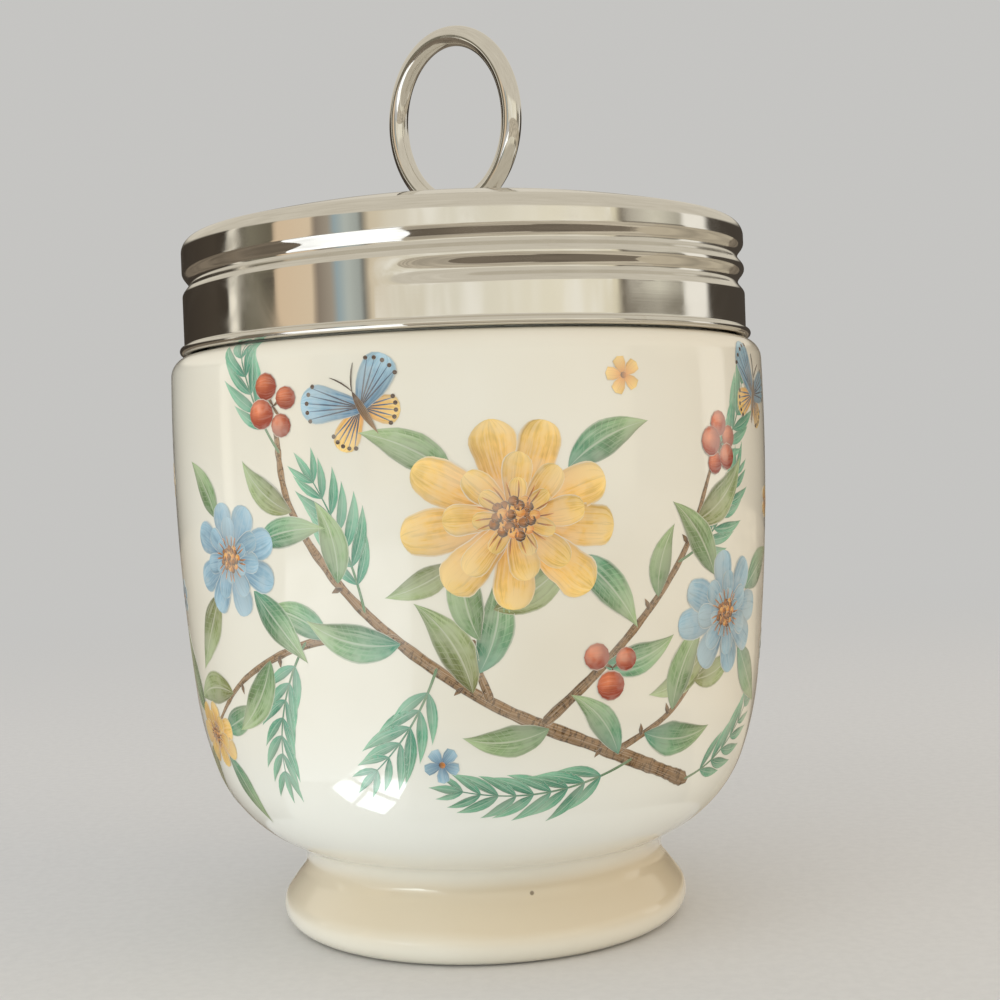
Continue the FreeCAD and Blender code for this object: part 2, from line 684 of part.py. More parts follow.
def make_ring_stud():
    body = new_body("stud_turned")
    outline = Outline(body, "stud_outline")
    floor = value(DIMPLE_FLOOR)
    seat = value(WASHER_BOTTOM)
    top = floor + size("head_height")
    low = seat - size("tail_height")
    head = size("head_radius")
    shank = size("shank_radius")
    tail = size("tail_radius")
    edge = size("edge_break")
    corners = [
        ("tail_end", (0.0, low)),
        ("tail_edge", (tail - edge, low)),
        ("tail_side", (tail, low + edge)),
        ("tail_seat", (tail, seat)),
        ("shank", (shank, seat)),
        ("head_seat", (shank, floor)),
        ("head_side", (head, floor)),
        ("head_edge", (head, top - edge)),
        ("head_top", (head - edge, top)),
        ("centre", (0.0, top)),
    ]
    names = [name for name, _ in corners]
    points = [point for _, point in corners]
    for name, start, end in zip(names, points, points[1:] + points[:1]):
        outline.line(name, start, end)
    for first, second in zip(names, names[1:] + names[:1]):
        outline.join(first, second)
    for name in ("tail_end", "tail_seat", "head_seat", "head_top"):
        outline.level(name)
    for name in ("tail_side", "shank", "head_side", "centre"):
        outline.upright(name)
    outline.on_axis("tail_end", "start")
    outline.height("tail_end", "start", "tail_low", WASHER_BOTTOM + " - sizes.tail_height")
    outline.across("tail_edge", "start", "tail_flat", "sizes.tail_radius - sizes.edge_break")
    outline.across("tail_side", "start", "tail_reach", "sizes.tail_radius")
    outline.height("tail_side", "start", "tail_break",
                   WASHER_BOTTOM + " - sizes.tail_height + sizes.edge_break")
    outline.height("shank", "start", "seat_level", WASHER_BOTTOM)
    outline.across("shank", "start", "shank_reach", "sizes.shank_radius")
    outline.height("head_seat", "start", "head_level", DIMPLE_FLOOR)
    outline.across("head_side", "start", "head_reach", "sizes.head_radius")
    outline.height("head_edge", "start", "head_break",
                   DIMPLE_FLOOR + " + sizes.head_height - sizes.edge_break")
    outline.across("head_top", "start", "head_flat", "sizes.head_radius - sizes.edge_break")
    outline.height("head_top", "start", "head_high", DIMPLE_FLOOR + " + sizes.head_height")
    revolve(body, outline)
    saddle = leaning_ring("saddle_groove", "sizes.wire_radius + sizes.braze_gap")
    return cut("ring_stud", body, saddle)


def make_stud_washer():
    body = new_body("stud_washer")
    sketch = body.newObject("Sketcher::SketchObject", "washer_outline")
    plane = [f for f in body.Origin.OriginFeatures if f.Role == "XY_Plane"][0]
    sketch.AttachmentSupport = [(plane, "")]
    sketch.MapMode = "FlatFace"
    for label, expression in (("outer", "sizes.washer_radius"),
                              ("inner", STUD_HOLE_RADIUS)):
        circle = Part.Circle(FreeCAD.Vector(0, 0, 0), FreeCAD.Vector(0, 0, 1), value(expression))
        geometry = sketch.addGeometry(circle, False)
        sketch.addConstraint(Sketcher.Constraint("Coincident", geometry, 3, -1, 1))
        index = sketch.addConstraint(Sketcher.Constraint("Radius", geometry, value(expression)))
        sketch.renameConstraint(index, label + "_round")
        sketch.setExpression("Constraints.%s_round" % label, expression)
    pad = body.newObject("PartDesign::Pad", "washer_pad")
    pad.Profile = sketch
    pad.setExpression("Length", "sizes.washer_thickness")
    sketch.Visibility = False
    body.setExpression("Placement.Base.z", WASHER_BOTTOM)
    return body


# ---------------------------------------------------------------- checks and export

def check_document():
    for item in DOC.Objects:
        if "Invalid" in item.State or "Error" in item.State:
            raise RuntimeError("%s failed: %s" % (item.Name, item.State))


def export(parts):
    os.makedirs("parts", exist_ok=True)
    for part in parts:
        shape = part.Shape
        if shape.isNull() or not shape.isValid() or len(shape.Solids) != 1:
            raise RuntimeError("%s is not one valid solid" % part.Label)
        shape.exportStep(os.path.join("parts", part.Label + ".step"))
        box = shape.optimalBoundingBox(False, False)
        print("%-12s volume %9.2f  z %7.3f to %7.3f  reach %7.3f"
              % (part.Label, shape.Volume, box.ZMin, box.ZMax, box.XMax))


def main():
    fill_sheet()
    parts = [make_cup(), make_lid_shell(), make_finger_ring(), make_ring_stud(),
             make_stud_washer()]
    DOC.recompute()
    check_document()
    export(parts)


main()
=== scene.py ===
import math

import bpy
import numpy as np
from mathutils import Matrix, Vector


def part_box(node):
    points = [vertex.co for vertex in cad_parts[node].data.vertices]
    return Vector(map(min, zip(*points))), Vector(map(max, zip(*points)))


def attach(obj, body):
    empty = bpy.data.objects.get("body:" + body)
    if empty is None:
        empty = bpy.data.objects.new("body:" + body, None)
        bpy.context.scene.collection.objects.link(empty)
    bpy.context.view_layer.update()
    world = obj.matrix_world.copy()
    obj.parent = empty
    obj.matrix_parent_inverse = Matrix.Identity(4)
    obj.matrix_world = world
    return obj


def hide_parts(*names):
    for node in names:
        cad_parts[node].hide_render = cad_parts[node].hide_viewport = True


bl_info = {
    "name": "Egg coddler",
    "version": (1, 0, 0),
    "blender": (4, 5, 0),
    "location": "3D View > Sidebar > Coddler",
    "description": "A porcelain egg coddler with its screw lid, painted sprigs and a small studio",
    "category": "Add Mesh",
}

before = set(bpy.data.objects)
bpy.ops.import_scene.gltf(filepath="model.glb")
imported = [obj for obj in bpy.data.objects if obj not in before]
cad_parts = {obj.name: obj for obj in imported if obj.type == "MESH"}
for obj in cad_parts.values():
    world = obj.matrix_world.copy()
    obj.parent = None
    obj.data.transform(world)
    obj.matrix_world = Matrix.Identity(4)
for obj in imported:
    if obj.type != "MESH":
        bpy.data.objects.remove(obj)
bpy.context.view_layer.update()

MM = 0.001
CUP_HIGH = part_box("cup")[1] / MM
LID_LOW, LID_HIGH = (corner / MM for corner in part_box("lid_shell"))
RING_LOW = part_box("finger_ring")[0] / MM

# The cup's outline, in millimetres: radius across, height up.
GIRTH_HEIGHT = 47.4
SIDE_CURVE = 214.6
SIDE_END_HEIGHT = 23.2
BELLY_CURVE = 32.1
BOWL_CURVE = 12.67
WAIST_CURVE = 2.4
WAIST_RISE = 4.48
FOOT_CURVE = 2.0
SHOULDER_HEIGHT = 55.7
SHOULDER_CURVE = 2.0
NECK_FILLET = 0.5
RIM_CURVE = 1.2
NECK_RADIUS = 25.4
NECK_WALL = 3.2
BORE_DROP = 0.5
BORE_CURVE = 2.0
BORE_SLOPE = math.radians(45)
FLOOR_CURVE = 80.0
FOOT_WALL = 5.0
RECESS_DEPTH = 5.8
RECESS_CURVE = 1.5
FOOT_EDGE = 0.8

# The lid's outline.
LID_INSET = 1.45
SHEET = 0.5
SIDE_RISE = 9.78
LID_CORNER = 1.4
DOME_CURVE = 107.0
BEAD_CURVE = 0.4
BEAD_COVE = 0.13
LIP_CURVE = 0.1
DIMPLE_RADIUS = 4.0
DIMPLE_DEPTH = 1.45
DIMPLE_SLOPE = math.radians(45)
DIMPLE_SOFTNESS = 0.45
HOLE_RADIUS = 1.55

# The screw thread: rolled in the lid, moulded on the neck.
PITCH = 2.5
SCREW_START = math.radians(-85)
RUNOUT = math.radians(20)
SCREW_TURNS = 1.4
NECK_TURNS = 1.25
SCREW_HEIGHT = 60.65
PLAIN_EDGE = 1.2
GROOVE_DEPTH = 0.62
GROOVE_HALF_WIDTH = 1.2
RIDGE_DEPTH = 0.95
RIDGE_HALF_WIDTH = 1.35
THREAD_CREST = 1.1
THREAD_CREST_HALF = 0.2
THREAD_SINK = 0.2
THREAD_SOFTNESS = 0.25
FLANK = math.radians(30)

# The finger ring.
WIRE_RADIUS = 0.975
RING_RADIUS = 8.15
RING_TURN = math.radians(-45.8)
RING_LEAN = math.radians(5.0)
RING_STEPS, WIRE_STEPS = 144, 32

# How far a point may lie off a wall and still count as on it.
SNAP = 0.01


# ---------------------------------------------------------------- outlines

def along(start, towards, distance):
    """The point at a distance from start, in the direction of towards."""
    length = math.dist(start, towards)
    return tuple(a + (b - a) * distance / length for a, b in zip(start, towards))


def touching_centre(low, low_reach, high, high_reach):
    """The point at given distances from two others, on the right of the way up."""
    span = math.dist(low, high)
    part_way = (span ** 2 + low_reach ** 2 - high_reach ** 2) / (2 * span)
    aside = math.sqrt(low_reach ** 2 - part_way ** 2)
    ahead = ((high[0] - low[0]) / span, (high[1] - low[1]) / span)
    return (low[0] + part_way * ahead[0] + aside * ahead[1],
            low[1] + part_way * ahead[1] - aside * ahead[0])


def tangent_points(low, low_radius, high, high_radius):
    """Ends of the line that passes between two circles and touches each once."""
    heading = math.atan2(high[1] - low[1], high[0] - low[0])
    turn = heading - math.acos((low_radius + high_radius) / math.dist(low, high))
    one = (low[0] + low_radius * math.cos(turn), low[1] + low_radius * math.sin(turn))
    two = (high[0] - high_radius * math.cos(turn), high[1] - high_radius * math.sin(turn))
    return one, two


class Outline:
    """A run of points, radius and height, made of straight lines and round bends.

    gap is the longest step from one point to the next."""

    def __init__(self, start):
        self.points = [tuple(start)]

    def line(self, end, gap):
        start = self.points[-1]
        steps = max(1, math.ceil(math.dist(start, end) / gap))
        for step in range(1, steps + 1):
            share = step / steps
            self.points.append(tuple(a + (b - a) * share for a, b in zip(start, end)))

    def bend(self, centre, end, gap, clockwise=False):
        start = self.points[-1]
        radius = math.dist(centre, start)
        first = math.atan2(start[1] - centre[1], start[0] - centre[0])
        last = math.atan2(end[1] - centre[1], end[0] - centre[0])
        turn = (last - first) % (2 * math.pi)
        if clockwise:
            turn -= 2 * math.pi
        steps = max(3, math.ceil(abs(turn) * radius / gap))
        for step in range(1, steps + 1):
            angle = first + turn * step / steps
            self.points.append((centre[0] + radius * math.cos(angle),
                                centre[1] + radius * math.sin(angle)))


class CupShape:
    """The centres and joins of the cup's curves, and the outlines that they give."""

    def __init__(self, settings):
        self.wall = settings.wall / MM
        self.foot_radius = settings.foot_radius / MM
        self.side = (settings.body_radius / MM - SIDE_CURVE, GIRTH_HEIGHT)
        drop = GIRTH_HEIGHT - SIDE_END_HEIGHT
        self.side_end = (self.side[0] + math.sqrt(SIDE_CURVE ** 2 - drop ** 2), SIDE_END_HEIGHT)
        self.belly = along(self.side_end, self.side, BELLY_CURVE)
        self.foot = (self.foot_radius - FOOT_CURVE, FOOT_CURVE)
        self.waist = (settings.waist_radius / MM + WAIST_CURVE, FOOT_CURVE + WAIST_RISE)
        self.bowl = touching_centre(self.waist, BOWL_CURVE + WAIST_CURVE,
                                    self.belly, BELLY_CURVE - BOWL_CURVE)
        shoulder_z = SHOULDER_HEIGHT - SHOULDER_CURVE
        reach = SIDE_CURVE - SHOULDER_CURVE
        across = self.side[0] + math.sqrt(reach ** 2 - (shoulder_z - self.side[1]) ** 2)
        self.shoulder = (across, shoulder_z)

    def side_outline(self):
        """From the tread up to the shoulder's ledge: the outside that is seen and painted."""
        foot_end, flare_end = tangent_points(self.foot, FOOT_CURVE, self.waist, WAIST_CURVE)
        outline = Outline((self.foot[0], 0.0))
        outline.bend(self.foot, foot_end, 0.15)
        outline.line(flare_end, 0.3)
        outline.bend(self.waist, along(self.waist, self.bowl, WAIST_CURVE), 0.18, clockwise=True)
        outline.bend(self.bowl, along(self.belly, self.bowl, BELLY_CURVE), 0.5)
        outline.bend(self.belly, self.side_end, 0.7)
        outline.bend(self.side, along(self.side, self.shoulder, SIDE_CURVE), 0.9)
        outline.bend(self.shoulder, (self.shoulder[0], SHOULDER_HEIGHT), 0.16)
        return outline

    def whole_outline(self):
        """The whole outline, from the inner floor's middle round to the recess's."""
        rim, rim_low = CUP_HIGH.z, CUP_HIGH.z - RIM_CURVE
        bore = NECK_RADIUS - NECK_WALL
        rim_in, rim_out = bore + RIM_CURVE, NECK_RADIUS - RIM_CURVE
        fillet = (NECK_RADIUS + NECK_FILLET, SHOULDER_HEIGHT + NECK_FILLET)
        bowl_in = BOWL_CURVE - self.wall
        floor_rise = math.sqrt((FLOOR_CURVE - bowl_in) ** 2 - self.bowl[0] ** 2)
        floor_centre = (0.0, self.bowl[1] + floor_rise)
        upper = (bore + BORE_CURVE, SHOULDER_HEIGHT - BORE_DROP)
        turned = (BORE_CURVE * math.sin(BORE_SLOPE), BORE_CURVE * math.cos(BORE_SLOPE))
        slope_start = (upper[0] - turned[0], upper[1] - turned[1])
        across = self.side[0] + SIDE_CURVE - self.wall - BORE_CURVE
        slope_end = (across + turned[0],
                     slope_start[1] - (across + turned[0] - slope_start[0]) * math.tan(BORE_SLOPE))
        lower = (across, slope_end[1] - turned[1])

        outline = Outline((0.0, floor_centre[1] - FLOOR_CURVE))
        outline.bend(floor_centre, along(floor_centre, self.bowl, FLOOR_CURVE), 1.6)
        outline.bend(self.bowl, along(self.belly, self.bowl, BELLY_CURVE - self.wall), 0.7)
        outline.bend(self.belly, along(self.side_end, self.side, self.wall), 1.0)
        outline.bend(self.side, along(self.side, lower, SIDE_CURVE - self.wall), 1.3)
        outline.bend(lower, slope_end, 0.25)
        outline.line(slope_start, 0.4)
        outline.bend(upper, (bore, upper[1]), 0.25, clockwise=True)
        outline.line((bore, rim_low), 1.2)
        outline.bend((rim_in, rim_low), (rim_in, rim), 0.15, clockwise=True)
        outline.line((rim_out, rim), 0.4)
        outline.bend((rim_out, rim_low), (NECK_RADIUS, rim_low), 0.15, clockwise=True)
        outline.line((NECK_RADIUS, fillet[1]), 0.14)
        outline.bend(fillet, (fillet[0], SHOULDER_HEIGHT), 0.12)
        outside = self.side_outline().points[::-1]
        outline.line(outside[0], 0.4)
        outline.points += outside[1:]
        recess = self.foot_radius - FOOT_WALL
        corner = (recess - RECESS_CURVE, RECESS_DEPTH - RECESS_CURVE)
        outline.line((recess + FOOT_EDGE, 0.0), 0.5)
        outline.bend((recess + FOOT_EDGE, FOOT_EDGE), (recess, FOOT_EDGE), 0.15, clockwise=True)
        outline.line((recess, corner[1]), 0.8)
        outline.bend(corner, (corner[0], RECESS_DEPTH), 0.3)
        outline.line((0.0, RECESS_DEPTH), 1.6)
        return outline


def smooth_highest(one, other, softness):
    """The larger of two values or arrays, with the corner between them rounded."""
    near = np.maximum(softness - np.abs(one - other), 0.0) / softness
    return np.maximum(one, other) + near * near * softness / 4


def screw(azimuth, height, start, turns, form, retreat):
    """How far a thread's form reaches at each azimuth and height.

    form gives the reach at a distance along the axis. Over each run-out it sinks by
    retreat, or where retreat is 0 it fades to nothing."""
    reach = np.full(np.broadcast(azimuth, height).shape, -retreat)
    turned = np.mod(azimuth - start, 2 * math.pi)
    for lap in range(-1, math.ceil(turns) + 1):
        way = turned + 2 * math.pi * lap
        past = np.maximum(-way, way - 2 * math.pi * turns) / RUNOUT
        fade = np.clip(past, 0.0, 1.0)
        fade = fade * fade * (3 - 2 * fade)
        centre = SCREW_HEIGHT + PITCH * way / (2 * math.pi)
        here = form(np.abs(height - centre)) * (1.0 if retreat else 1.0 - fade)
        here = np.where(past <= 1.0, here - retreat * fade, -retreat)
        reach = np.maximum(reach, here)
    return reach


def lid_groove(azimuth, height, depth, half_width):
    """Depth of the rolled groove, a soft wave across its width."""
    def form(offset):
        return depth * np.cos(math.pi / 2 * np.minimum(offset / half_width, 1.0)) ** 2
    return screw(azimuth, height, SCREW_START, SCREW_TURNS, form, 0.0)


def neck_thread(azimuth, height):
    """How far the neck's moulded thread stands out."""
    def form(offset):
        return THREAD_CREST - np.maximum(offset - THREAD_CREST_HALF, 0.0) / math.tan(FLANK)
    reach = screw(azimuth, height, SCREW_START - math.pi, NECK_TURNS, form,
                  THREAD_CREST + THREAD_SINK)
    return smooth_highest(reach, np.zeros_like(reach), THREAD_SOFTNESS)


def lid_outline():
    """The lid's closed outline, from the stud's hole over the top and back inside."""
    radius = CUP_HIGH.x - LID_INSET
    low = LID_LOW.z
    side_top = low + SIDE_RISE
    corner = (radius - LID_CORNER, side_top)
    dome = (0.0, side_top - math.sqrt((DOME_CURVE - LID_CORNER) ** 2 - corner[0] ** 2))
    floor_z = dome[1] + DOME_CURVE - DIMPLE_DEPTH

    def top(across, sheet):
        """Height of the dome with its dimple, softened where they meet."""
        shift = sheet * math.tan(DIMPLE_SLOPE / 2)
        domed = dome[1] + math.sqrt((DOME_CURVE - sheet) ** 2 - across ** 2)
        wall_z = floor_z - sheet + across - DIMPLE_RADIUS - shift
        dimple = float(smooth_highest(wall_z, floor_z - sheet, DIMPLE_SOFTNESS))
        return -float(smooth_highest(-dimple, -domed, DIMPLE_SOFTNESS))

    def top_points(end, sheet):
        """Points from the hole outwards, close together over the dimple."""
        points = []
        across = HOLE_RADIUS
        close, wide, last_gap = 0.16, 0.55, 0.2
        while across < end - last_gap:
            points.append((across, top(across, sheet)))
            across += close if across < DIMPLE_RADIUS + 3 else wide
        return points

    outer_end = along(dome, corner, DOME_CURVE)
    inner_end = along(dome, corner, DOME_CURVE - SHEET)
    bead = (LID_HIGH.x - BEAD_CURVE, low + BEAD_CURVE)
    cove = radius + BEAD_COVE
    cove_z = bead[1] + math.sqrt((BEAD_CURVE + BEAD_COVE) ** 2 - (cove - bead[0]) ** 2)
    inside = radius - SHEET
    outline = Outline((HOLE_RADIUS, top(HOLE_RADIUS, 0.0)))
    outline.points += top_points(outer_end[0], 0.0)[1:]
    outline.line(outer_end, 0.4)
    outline.bend(corner, (radius, side_top), 0.1, clockwise=True)
    outline.line((radius, cove_z), 0.085)
    outline.bend((cove, cove_z), along(bead, (cove, cove_z), BEAD_CURVE), 0.05)
    outline.bend(bead, (bead[0], low), 0.06, clockwise=True)
    outline.line((inside + LIP_CURVE, low), 0.15)
    outline.bend((inside + LIP_CURVE, low + LIP_CURVE), (inside, low + LIP_CURVE), 0.05,
                 clockwise=True)
    outline.line((inside, side_top), 0.16)
    outline.bend(corner, inner_end, 0.15)
    outline.points += top_points(inner_end[0], SHEET)[::-1]
    return outline


# ---------------------------------------------------------------- meshes

def mesh_object(name, vertices, faces, uvs=None):
    """Makes an object from vertices in millimetres."""
    mesh = bpy.data.meshes.new(name)
    mesh.from_pydata((np.array(vertices) * MM).tolist(), [], faces)
    mesh.polygons.foreach_set("use_smooth", [True] * len(mesh.polygons))
    if uvs is not None:
        layer = mesh.uv_layers.new(name="OFBake")
        layer.uv.foreach_set("vector", np.asarray(uvs, np.float32).ravel())
    mesh.validate()
    mesh.update()
    made = bpy.data.objects.new(name, mesh)
    bpy.context.scene.collection.objects.link(made)
    return made


def grid_faces(numbers, wrapped=True):
    """Faces between the rows of a grid of vertex numbers, also from its last column to its first."""
    after = np.roll(numbers, -1, axis=1)
    faces = np.stack([numbers[:-1], numbers[1:], after[1:], after[:-1]], axis=-1)
    return (faces if wrapped else faces[:, :-1]).reshape(-1, 4).tolist()


def turned_object(name, points, columns, shift=None, closed=False):
    """Turns an outline round the Z axis. shift moves radii by azimuth, radius and height.

    A closed outline joins its end to its start. An end on the axis makes a pole."""
    points = np.array([*points, points[0]] if closed else points)
    shares = path_lengths(points)
    shares = shares / shares[-1]
    azimuth = np.arange(columns) * 2 * math.pi / columns - math.pi / 2
    radii, heights = points[:, :1], points[:, 1:]
    if shift:
        radii = radii + shift(azimuth, radii, heights)
    spots = np.broadcast_arrays(radii * np.cos(azimuth), radii * np.sin(azimuth), heights)
    vertices, rings = [], []
    for radius, row in zip(points[:, 0], np.stack(spots, axis=-1)):
        made = row[:1] if radius == 0.0 else row
        rings.append([len(vertices) + column % len(made) for column in range(columns + 1)])
        vertices += list(made)
    if closed:
        # The last row is the first one again.
        rings[-1] = rings[0]
        del vertices[-columns:]
    faces, uvs = [], []
    for low, high, low_v, high_v in zip(rings, rings[1:], shares, shares[1:]):
        for column in range(columns):
            left, right = column / columns, (column + 1) / columns
            # At a pole two of the four corners are one vertex, which leaves a triangle.
            corners = {low[column]: (left, low_v), high[column]: (left, high_v),
                       high[column + 1]: (right, high_v), low[column + 1]: (right, low_v)}
            faces.append(list(corners))
            uvs += corners.values()
    return mesh_object(name, vertices, faces, uvs)


# ---------------------------------------------------------------- enamel

def paint_colour(red, green, blue):
    """A colour given from 0 to 255 as a screen shows it, as the linear values that shading uses."""
    return tuple(((c / 255 + 0.055) / 1.055) ** 2.4 for c in (red, green, blue))


def direction(heading, squash=1.0):
    """A step of length 1. Headings are in degrees, 0 to the right and 90 up."""
    turn = math.radians(heading)
    return np.array([math.cos(turn), math.sin(turn) * squash])


def curve_from(start, heading, reach, bend, steps=24):
    """A curve of a given length, which turns by bend on its way."""
    angles = np.radians(heading + bend * (np.arange(steps) + 0.5) / steps)
    moves = np.stack([np.cos(angles), np.sin(angles)], axis=1) * reach / steps
    return np.concatenate([[start], np.asarray(start) + np.cumsum(moves, axis=0)])


def curve_through(points, steps=16):
    """A smooth curve through the points."""
    points = np.asarray(points, float)
    padded = np.concatenate([[2 * points[0] - points[1]], points, [2 * points[-1] - points[-2]]])
    made = [points[:1]]
    share = (np.arange(steps) + 1)[:, None] / steps
    for before, start, end, after in zip(padded, padded[1:], padded[2:], padded[3:]):
        made.append(0.5 * (2 * start + (end - before) * share
                           + (2 * before - 5 * start + 4 * end - after) * share ** 2
                           + (3 * start - before - 3 * end + after) * share ** 3))
    return np.concatenate(made)


def path_lengths(path):
    """The way from a path's start to each of its points."""
    return np.concatenate([[0.0], np.cumsum(np.hypot(*np.diff(path, axis=0).T))])


def places_on(path, shares):
    """The places at shares of a path's length."""
    way = path_lengths(path)
    return np.stack([np.interp(shares * way[-1], way, path[:, k]) for k in (0, 1)], axis=-1)


def point_on(path, share):
    """The point and the heading at a share of a path's length."""
    across, up = places_on(path, share + 0.02) - places_on(path, share - 0.02)
    return places_on(path, share), math.degrees(math.atan2(up, across))


def leaf_form(share):
    return np.sin(math.pi * share ** 0.8) ** 1.1


def petal_form(share):
    return (0.22 + 0.78 * share ** 0.8) * np.sqrt(np.maximum(1 - share ** 5, 0.0))


def disc_form(share):
    return np.sqrt(np.maximum(1 - (2 * share - 1) ** 2, 0.0))


def stem_form(share):
    return (1 - 0.62 * share) * np.minimum(1, np.minimum(share, 1 - share) * 40 + 0.3)


def hair_form(share):
    return np.sin(math.pi * np.clip(share * 0.94 + 0.03, 0, 1)) ** 0.7


def fading(base, tip, power=1.0, shade=0.0):
    """Colour along a stroke from base to tip, darker on one side by shade."""
    def tint(share, side):
        part = (share ** power)[..., None]
        mixed = np.asarray(base) * (1 - part) + np.asarray(tip) * part
        return mixed * (1 - shade * side)[..., None]
    return tint


def ball(dark, light):
    """Colour of a round berry, lit from the upper left."""
    def tint(share, side):
        x, y = 2 * share - 1, side * disc_form(share)
        part = np.clip(1.15 - np.hypot(x + 0.3, y - 0.35), 0, 1)[..., None] ** 1.6
        return np.asarray(dark) * (1 - part) + np.asarray(light) * part
    return tint


class Painting:
    """Strokes of fired enamel, each a thin closed slab that lies on the cup's side.

    A place is (across, up) in millimetres. Across is measured round the girth from the
    front, and up follows the outline and equals the height where the side begins."""

    # In millimetres: how high the lowest layer lies and how much higher each next one, how deep
    # the underside lies, the length of a face, and the room between strokes laid flat.
    LIFT, LAYER, SUNK, GRAIN, UV_GAP = 0.016, 0.008, 0.05, 0.55, 0.25

    def __init__(self, scene, seed):
        self.cup, self.paint = scene.coddler_cup, scene.coddler_paint
        self.girth = self.cup.body_radius / MM
        self.outline = np.array(CupShape(self.cup).side_outline().points)
        self.way = path_lengths(self.outline)
        self.way += SIDE_END_HEIGHT - np.interp(SIDE_END_HEIGHT, self.outline[:, 1], self.way)
        slope = np.gradient(self.outline, axis=0)
        self.out = np.stack([slope[:, 1], -slope[:, 0]], axis=1)
        self.out /= np.hypot(*self.out.T)[:, None]
        self.random = np.random.default_rng(seed)
        self.vertices, self.normals, self.tints, self.strokes = [], [], [], []
        self.faces, self.cells = [], []

    def on_cup(self, places, lift):
        """Positions and outward normals for places on the side."""
        azimuth = places[..., 0] / self.girth - math.pi / 2
        radius, height = (np.interp(places[..., 1], self.way, self.outline[:, k]) for k in (0, 1))
        out, rise = (np.interp(places[..., 1], self.way, self.out[:, k]) for k in (0, 1))
        normal = np.stack([out * np.cos(azimuth), out * np.sin(azimuth), rise], axis=-1)
        spot = np.stack([radius * np.cos(azimuth), radius * np.sin(azimuth), height], axis=-1)
        return spot + normal * lift, normal

    def stroke(self, path, width, form, tint, layer=0, rough=0.04):
        """Lays a stroke along a path. form gives the share of the width at a share of the way."""
        reach = path_lengths(path)[-1]
        rows = max(5, math.ceil(1.35 * reach / self.GRAIN) + 1)
        columns = max(3, math.ceil(width / self.GRAIN) + 1)
        # The rows lie closer near the ends, where the width changes fastest.
        share = (1 - np.cos(math.pi * np.arange(rows) / (rows - 1))) / 2
        middle = places_on(path, share)
        heading = np.gradient(middle, axis=0)
        heading /= np.maximum(np.hypot(*heading.T), 1e-9)[:, None]
        aside = np.stack([-heading[:, 1], heading[:, 0]], axis=1)
        wobble = np.convolve(self.random.normal(0.0, rough, rows), (0.25, 0.5, 0.25), mode="same")
        half = width / 2 * np.maximum(form(share), 0.012) * (1 + wobble)
        # Each row runs over the top from edge to edge, and comes back sunk in the glaze.
        side = np.append(np.linspace(-1, 1, columns), (1, -1))
        lift = np.append(np.full(columns, self.LIFT + self.LAYER * layer), (-self.SUNK, -self.SUNK))
        grid = middle[:, None] + aside[:, None] * (half[:, None] * side)[..., None]
        spots, normals = self.on_cup(grid, lift[:, None])
        shares, sides = np.broadcast_arrays(share[:, None], side)
        colours = tint(shares, sides) * self.random.uniform(0.93, 1.07)
        marks = np.stack([shares * reach, sides, np.full(shares.shape, self.random.uniform())],
                         axis=-1)
        numbers = np.arange(spots[..., 0].size).reshape(rows, -1)
        quads = np.array(grid_faces(numbers))
        ends = [numbers[0], numbers[-1, ::-1]]
        self.faces += (quads + len(self.vertices)).tolist()
        self.faces += [(end + len(self.vertices)).tolist() for end in ends]
        for kept, made in ((self.vertices, spots), (self.normals, normals),
                           (self.tints, colours), (self.strokes, marks)):
            kept.extend(made.reshape(-1, 3))
        self.cells.append((reach, width, self.flat_stroke(reach * share, width, columns, quads)))

    def flat_stroke(self, way, width, columns, quads):
        """A stroke's faces laid flat. Only the top has an area; the rest lies in the gap."""
        up = np.append(width * np.arange(columns) / (columns - 1), (width, 0.0))
        flat = np.stack(np.broadcast_arrays(way[:, None], up), axis=-1)
        laid = flat.reshape(-1, 2)[quads].reshape(len(way) - 1, len(up), 4, 2)
        laid[:, columns - 1:] = laid[:, columns - 1:, :1] * (1, 0) - (0, self.UV_GAP / 2)
        ends = np.repeat([(-self.UV_GAP / 2, 0.0), (way[-1] + self.UV_GAP / 2, 0.0)], len(up), axis=0)
        return np.concatenate([laid.reshape(-1, 2), ends])

    def flat_uvs(self):
        """Lays the strokes out side by side, in rows, in the unit square."""
        gap = self.UV_GAP
        area = sum((reach + gap) * (width + gap) for reach, width, _ in self.cells)
        longest = max(reach for reach, _, _ in self.cells)
        across = max(1.08 * math.sqrt(area), longest + 2 * gap)
        left, low, row_top, corners = gap, gap, 0.0, {}
        for number in sorted(range(len(self.cells)), key=lambda k: -self.cells[k][1]):
            reach, width, _ = self.cells[number]
            if left + reach + gap > across:
                left, low = gap, row_top + gap
            corners[number] = (left, low)
            row_top = max(row_top, low + width)
            left += reach + gap
        scale = 1 / max(across, row_top + gap)
        laid = [flat + corners[number] for number, (_, _, flat) in enumerate(self.cells)]
        return np.clip(np.concatenate(laid) * scale, 0.0, 1.0)

    def dot(self, centre, radius, tint, layer, rough=0.04):
        """Lays a round stroke."""
        path = curve_from(np.subtract(centre, (radius, 0)), 0, 2 * radius, 0, 6)
        self.stroke(path, 2 * radius, disc_form, tint, layer, rough)

    def leaf(self, start, heading, reach, width, bend, dark, light, layer=1):
        path = curve_from(start, heading, reach, bend)
        shade = 0.26 if bend > 0 else -0.26
        self.stroke(path, width, leaf_form, fading(dark, light, 0.9, shade), layer)

    def broad_leaf(self, start, heading, bend, number):
        reach = self.random.uniform(6.5, 9.5)
        dark = (self.paint.teal, self.paint.sage, self.paint.olive)[number % 3]
        self.leaf(start, heading, reach, reach * 0.36, bend, dark, self.paint.pale_sage,
                  2 + number % 2)

